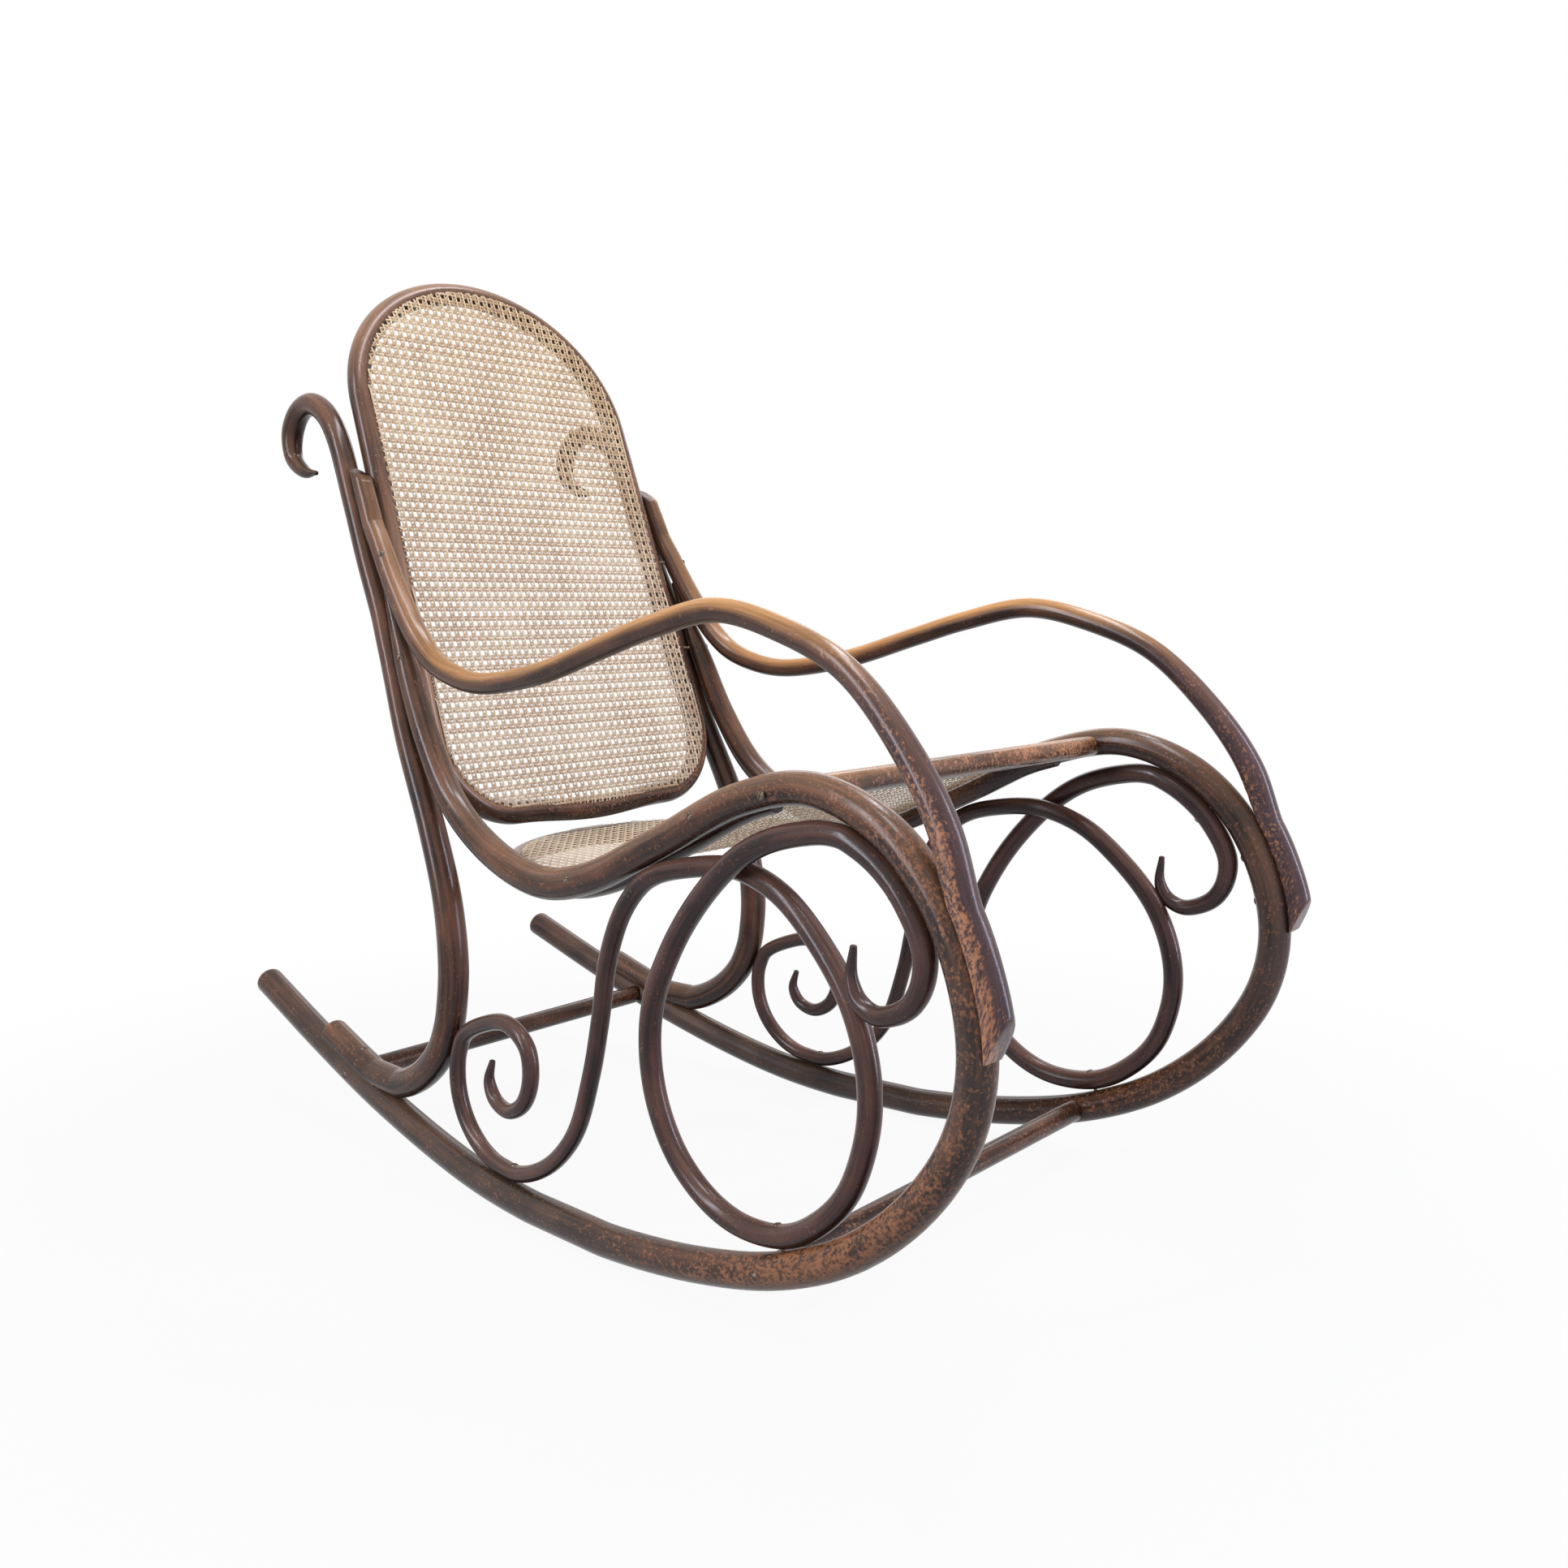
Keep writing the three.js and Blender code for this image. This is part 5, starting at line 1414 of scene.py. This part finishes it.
def cane_build(wire):
    """Strands from fresh to browned, by tone and by clouds, and yellower towards the top."""
    grain = wire.node("Attribute", {"attribute_name": "grain"}, {}, output=1)
    tone = wire.node("Attribute", {"attribute_name": "tone"}, {}, output=2)
    place = wire.node("TexCoord", {}, {}, output=3)
    clouds = place.noise(CANE_CLOUD_SCALE, 3.0, 0.6)
    fibres = grain.stretch((0.08, 1.0, 1.0)).noise(CANE_FIBRE_SCALE, 3.0, 0.6)
    aged = (clouds * 0.7 + tone * 0.4).step(0.32, 0.9)
    height = wire.node("SeparateXYZ", {}, {0: place}, output=2)
    top = height.step(0.5, 0.92)
    fresh = top.mix(linear(214, 196, 172), linear(206, 182, 146))
    brown = top.mix(linear(168, 138, 110), linear(156, 122, 86))
    colour = aged.mix(fresh, brown)
    colour = fibres.step(0.45, 0.8, 0.0, 0.25).mix(colour, linear(140, 108, 82))
    return {
        "Base Color": colour,
        "Roughness": 0.38 + fibres * 0.2,
        "Normal": fibres.bump(0.00008, 0.5),
    }


def steel_build(wire):
    """Grey steel with small brown spots."""
    place = wire.node("TexCoord", {}, {}, output=3)
    spots = place.noise(RUST_SCALE, 4.0, 0.6)
    return {
        "Base Color": spots.step(0.42, 0.62).mix(linear(122, 112, 102), linear(66, 48, 38)),
        "Roughness": 0.32 + spots * 0.35,
        "Normal": spots.bump(0.0001, 0.5),
    }


cane = material("woven cane", cane_build, {})
steel = material("old steel", steel_build, {"Metallic": 0.9})
for piece in cane_pieces:
    piece.data.materials.append(cane)
for piece in steel_pieces:
    piece.data.materials.append(steel)
print("cane on", len(cane_pieces), "pieces, steel on", len(steel_pieces))

# %% [markdown]
# ## Studio
#
# A pale floor and a white room. Seen by the camera both are nearly white, while the light that they give
# the chair stays plain. Long soft boxes make the thin bright streaks along the varnished rods.

# %% Floor
FLOOR_SIZE = 14
FLOOR_GREY = (0.5, 0.5, 0.5, 1)
NEAR_WHITE, FADE_START, FADE_END = 0.93, 0.55, 1.3
WHITE = (1, 1, 1, 1)


def link_object(name, data):
    """A new object, linked into the scene."""
    made = bpy.data.objects.new(name, data)
    bpy.context.scene.collection.objects.link(made)
    return made


def seen_share(wire):
    """1 for the camera and in reflections and glass, 0 for the light that falls on the chair."""
    rays = ("Is Camera Ray", "Is Glossy Ray", "Is Transmission Ray")
    camera_ray, glossy, through = (wire.node("LightPath", {}, {}, output=ray) for ray in rays)
    return camera_ray.greater(glossy).greater(through)


floor_mesh = bpy.data.meshes.new("floor")
corners = [(-1, -1), (1, -1), (1, 1), (-1, 1)]
floor_mesh.from_pydata([(x * FLOOR_SIZE, y * FLOOR_SIZE, 0) for x, y in corners], [], [(0, 1, 2, 3)])
floor = link_object("floor", floor_mesh)
floor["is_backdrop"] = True

floor_look = bpy.data.materials.new("pale floor")
floor_look.use_nodes = True
tree = floor_look.node_tree
wire = Wire(tree)
place = wire.node("TexCoord", {}, {}, output=3)
far = wire.node("VectorMath", {"operation": "LENGTH"}, {0: place}, output=1)
diffuse = wire.node("BsdfDiffuse", {}, {"Color": FLOOR_GREY})
glow = wire.node("Emission", {}, {"Color": WHITE, "Strength": 1.0})
share = seen_share(wire) * far.step(FADE_START, FADE_END, NEAR_WHITE, 1.0)
mixed = wire.node("MixShader", {}, {0: share, 1: diffuse, 2: glow})
tree.links.new(mixed.socket, tree.nodes["Material Output"].inputs["Surface"])
floor_mesh.materials.append(floor_look)

# %% [markdown]
# The room works like the floor: pure white where the camera or a shiny rod looks at it, and a plain soft
# light for the chair itself.

# %% Room
ROOM_LIGHT = 0.25

world = bpy.data.worlds.new("white room")
bpy.context.scene.world = world
world.use_nodes = True
tree = world.node_tree
wire = Wire(tree)
soft = wire.node("Background", {}, {"Color": WHITE, "Strength": ROOM_LIGHT})
white = wire.node("Background", {}, {"Color": WHITE, "Strength": 1.0})
mixed = wire.node("MixShader", {}, {0: seen_share(wire), 1: soft, 2: white})
tree.links.new(mixed.socket, tree.nodes["World Output"].inputs["Surface"])

# %% [markdown]
# An even room alone would leave the rods flat. Long and narrow lamps are mirrored as thin bright lines
# along them, and the one in front is a little bluer, as daylight is.

# %% Lamps
CHAIR_MIDDLE = (0, 0, 0.45)
COOL = (0.8, 0.84, 1.0)


def soft_box(name, place, size, watts, colour=(1, 1, 1)):
    """An area lamp that faces the middle of the chair."""
    data = bpy.data.lights.new(name, "AREA")
    data.shape = "RECTANGLE"
    data.size, data.size_y = size
    data.energy = watts
    data.color = colour
    lamp = link_object(name, data)
    lamp.location = place
    away = lamp.location - Vector(CHAIR_MIDDLE)
    lamp.rotation_euler = away.to_track_quat("Z", "Y").to_euler()


soft_box("overhead box", (0.3, 0.1, 2.6), (2.4, 0.3), 44)
soft_box("front strip", (2.3, 0.95, 1.2), (0.16, 2.2), 48, COOL)
soft_box("right strip", (-0.75, -2.6, 1.5), (0.16, 2.2), 50)
soft_box("rear box", (-1.3, 2.4, 1.9), (2.0, 0.5), 10)

bpy.context.scene.view_settings.view_transform = "Standard"
print("lamps", len(bpy.data.lights))

# %% [markdown]
# ## Size
#
# The dressed chair must stay as large as the imported one. Both boxes are measured, and how far they differ
# is printed.

# %% Finish
visual_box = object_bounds()
sizes = {
    "cad": [list(corner) for corner in cad_box],
    "visual": [list(corner) for corner in visual_box],
}
grown = np.abs(np.array(sizes["visual"]) - np.array(sizes["cad"])).max()
print("the dressed chair differs from the packed one by at most", round(grown / MM, 1), "mm")
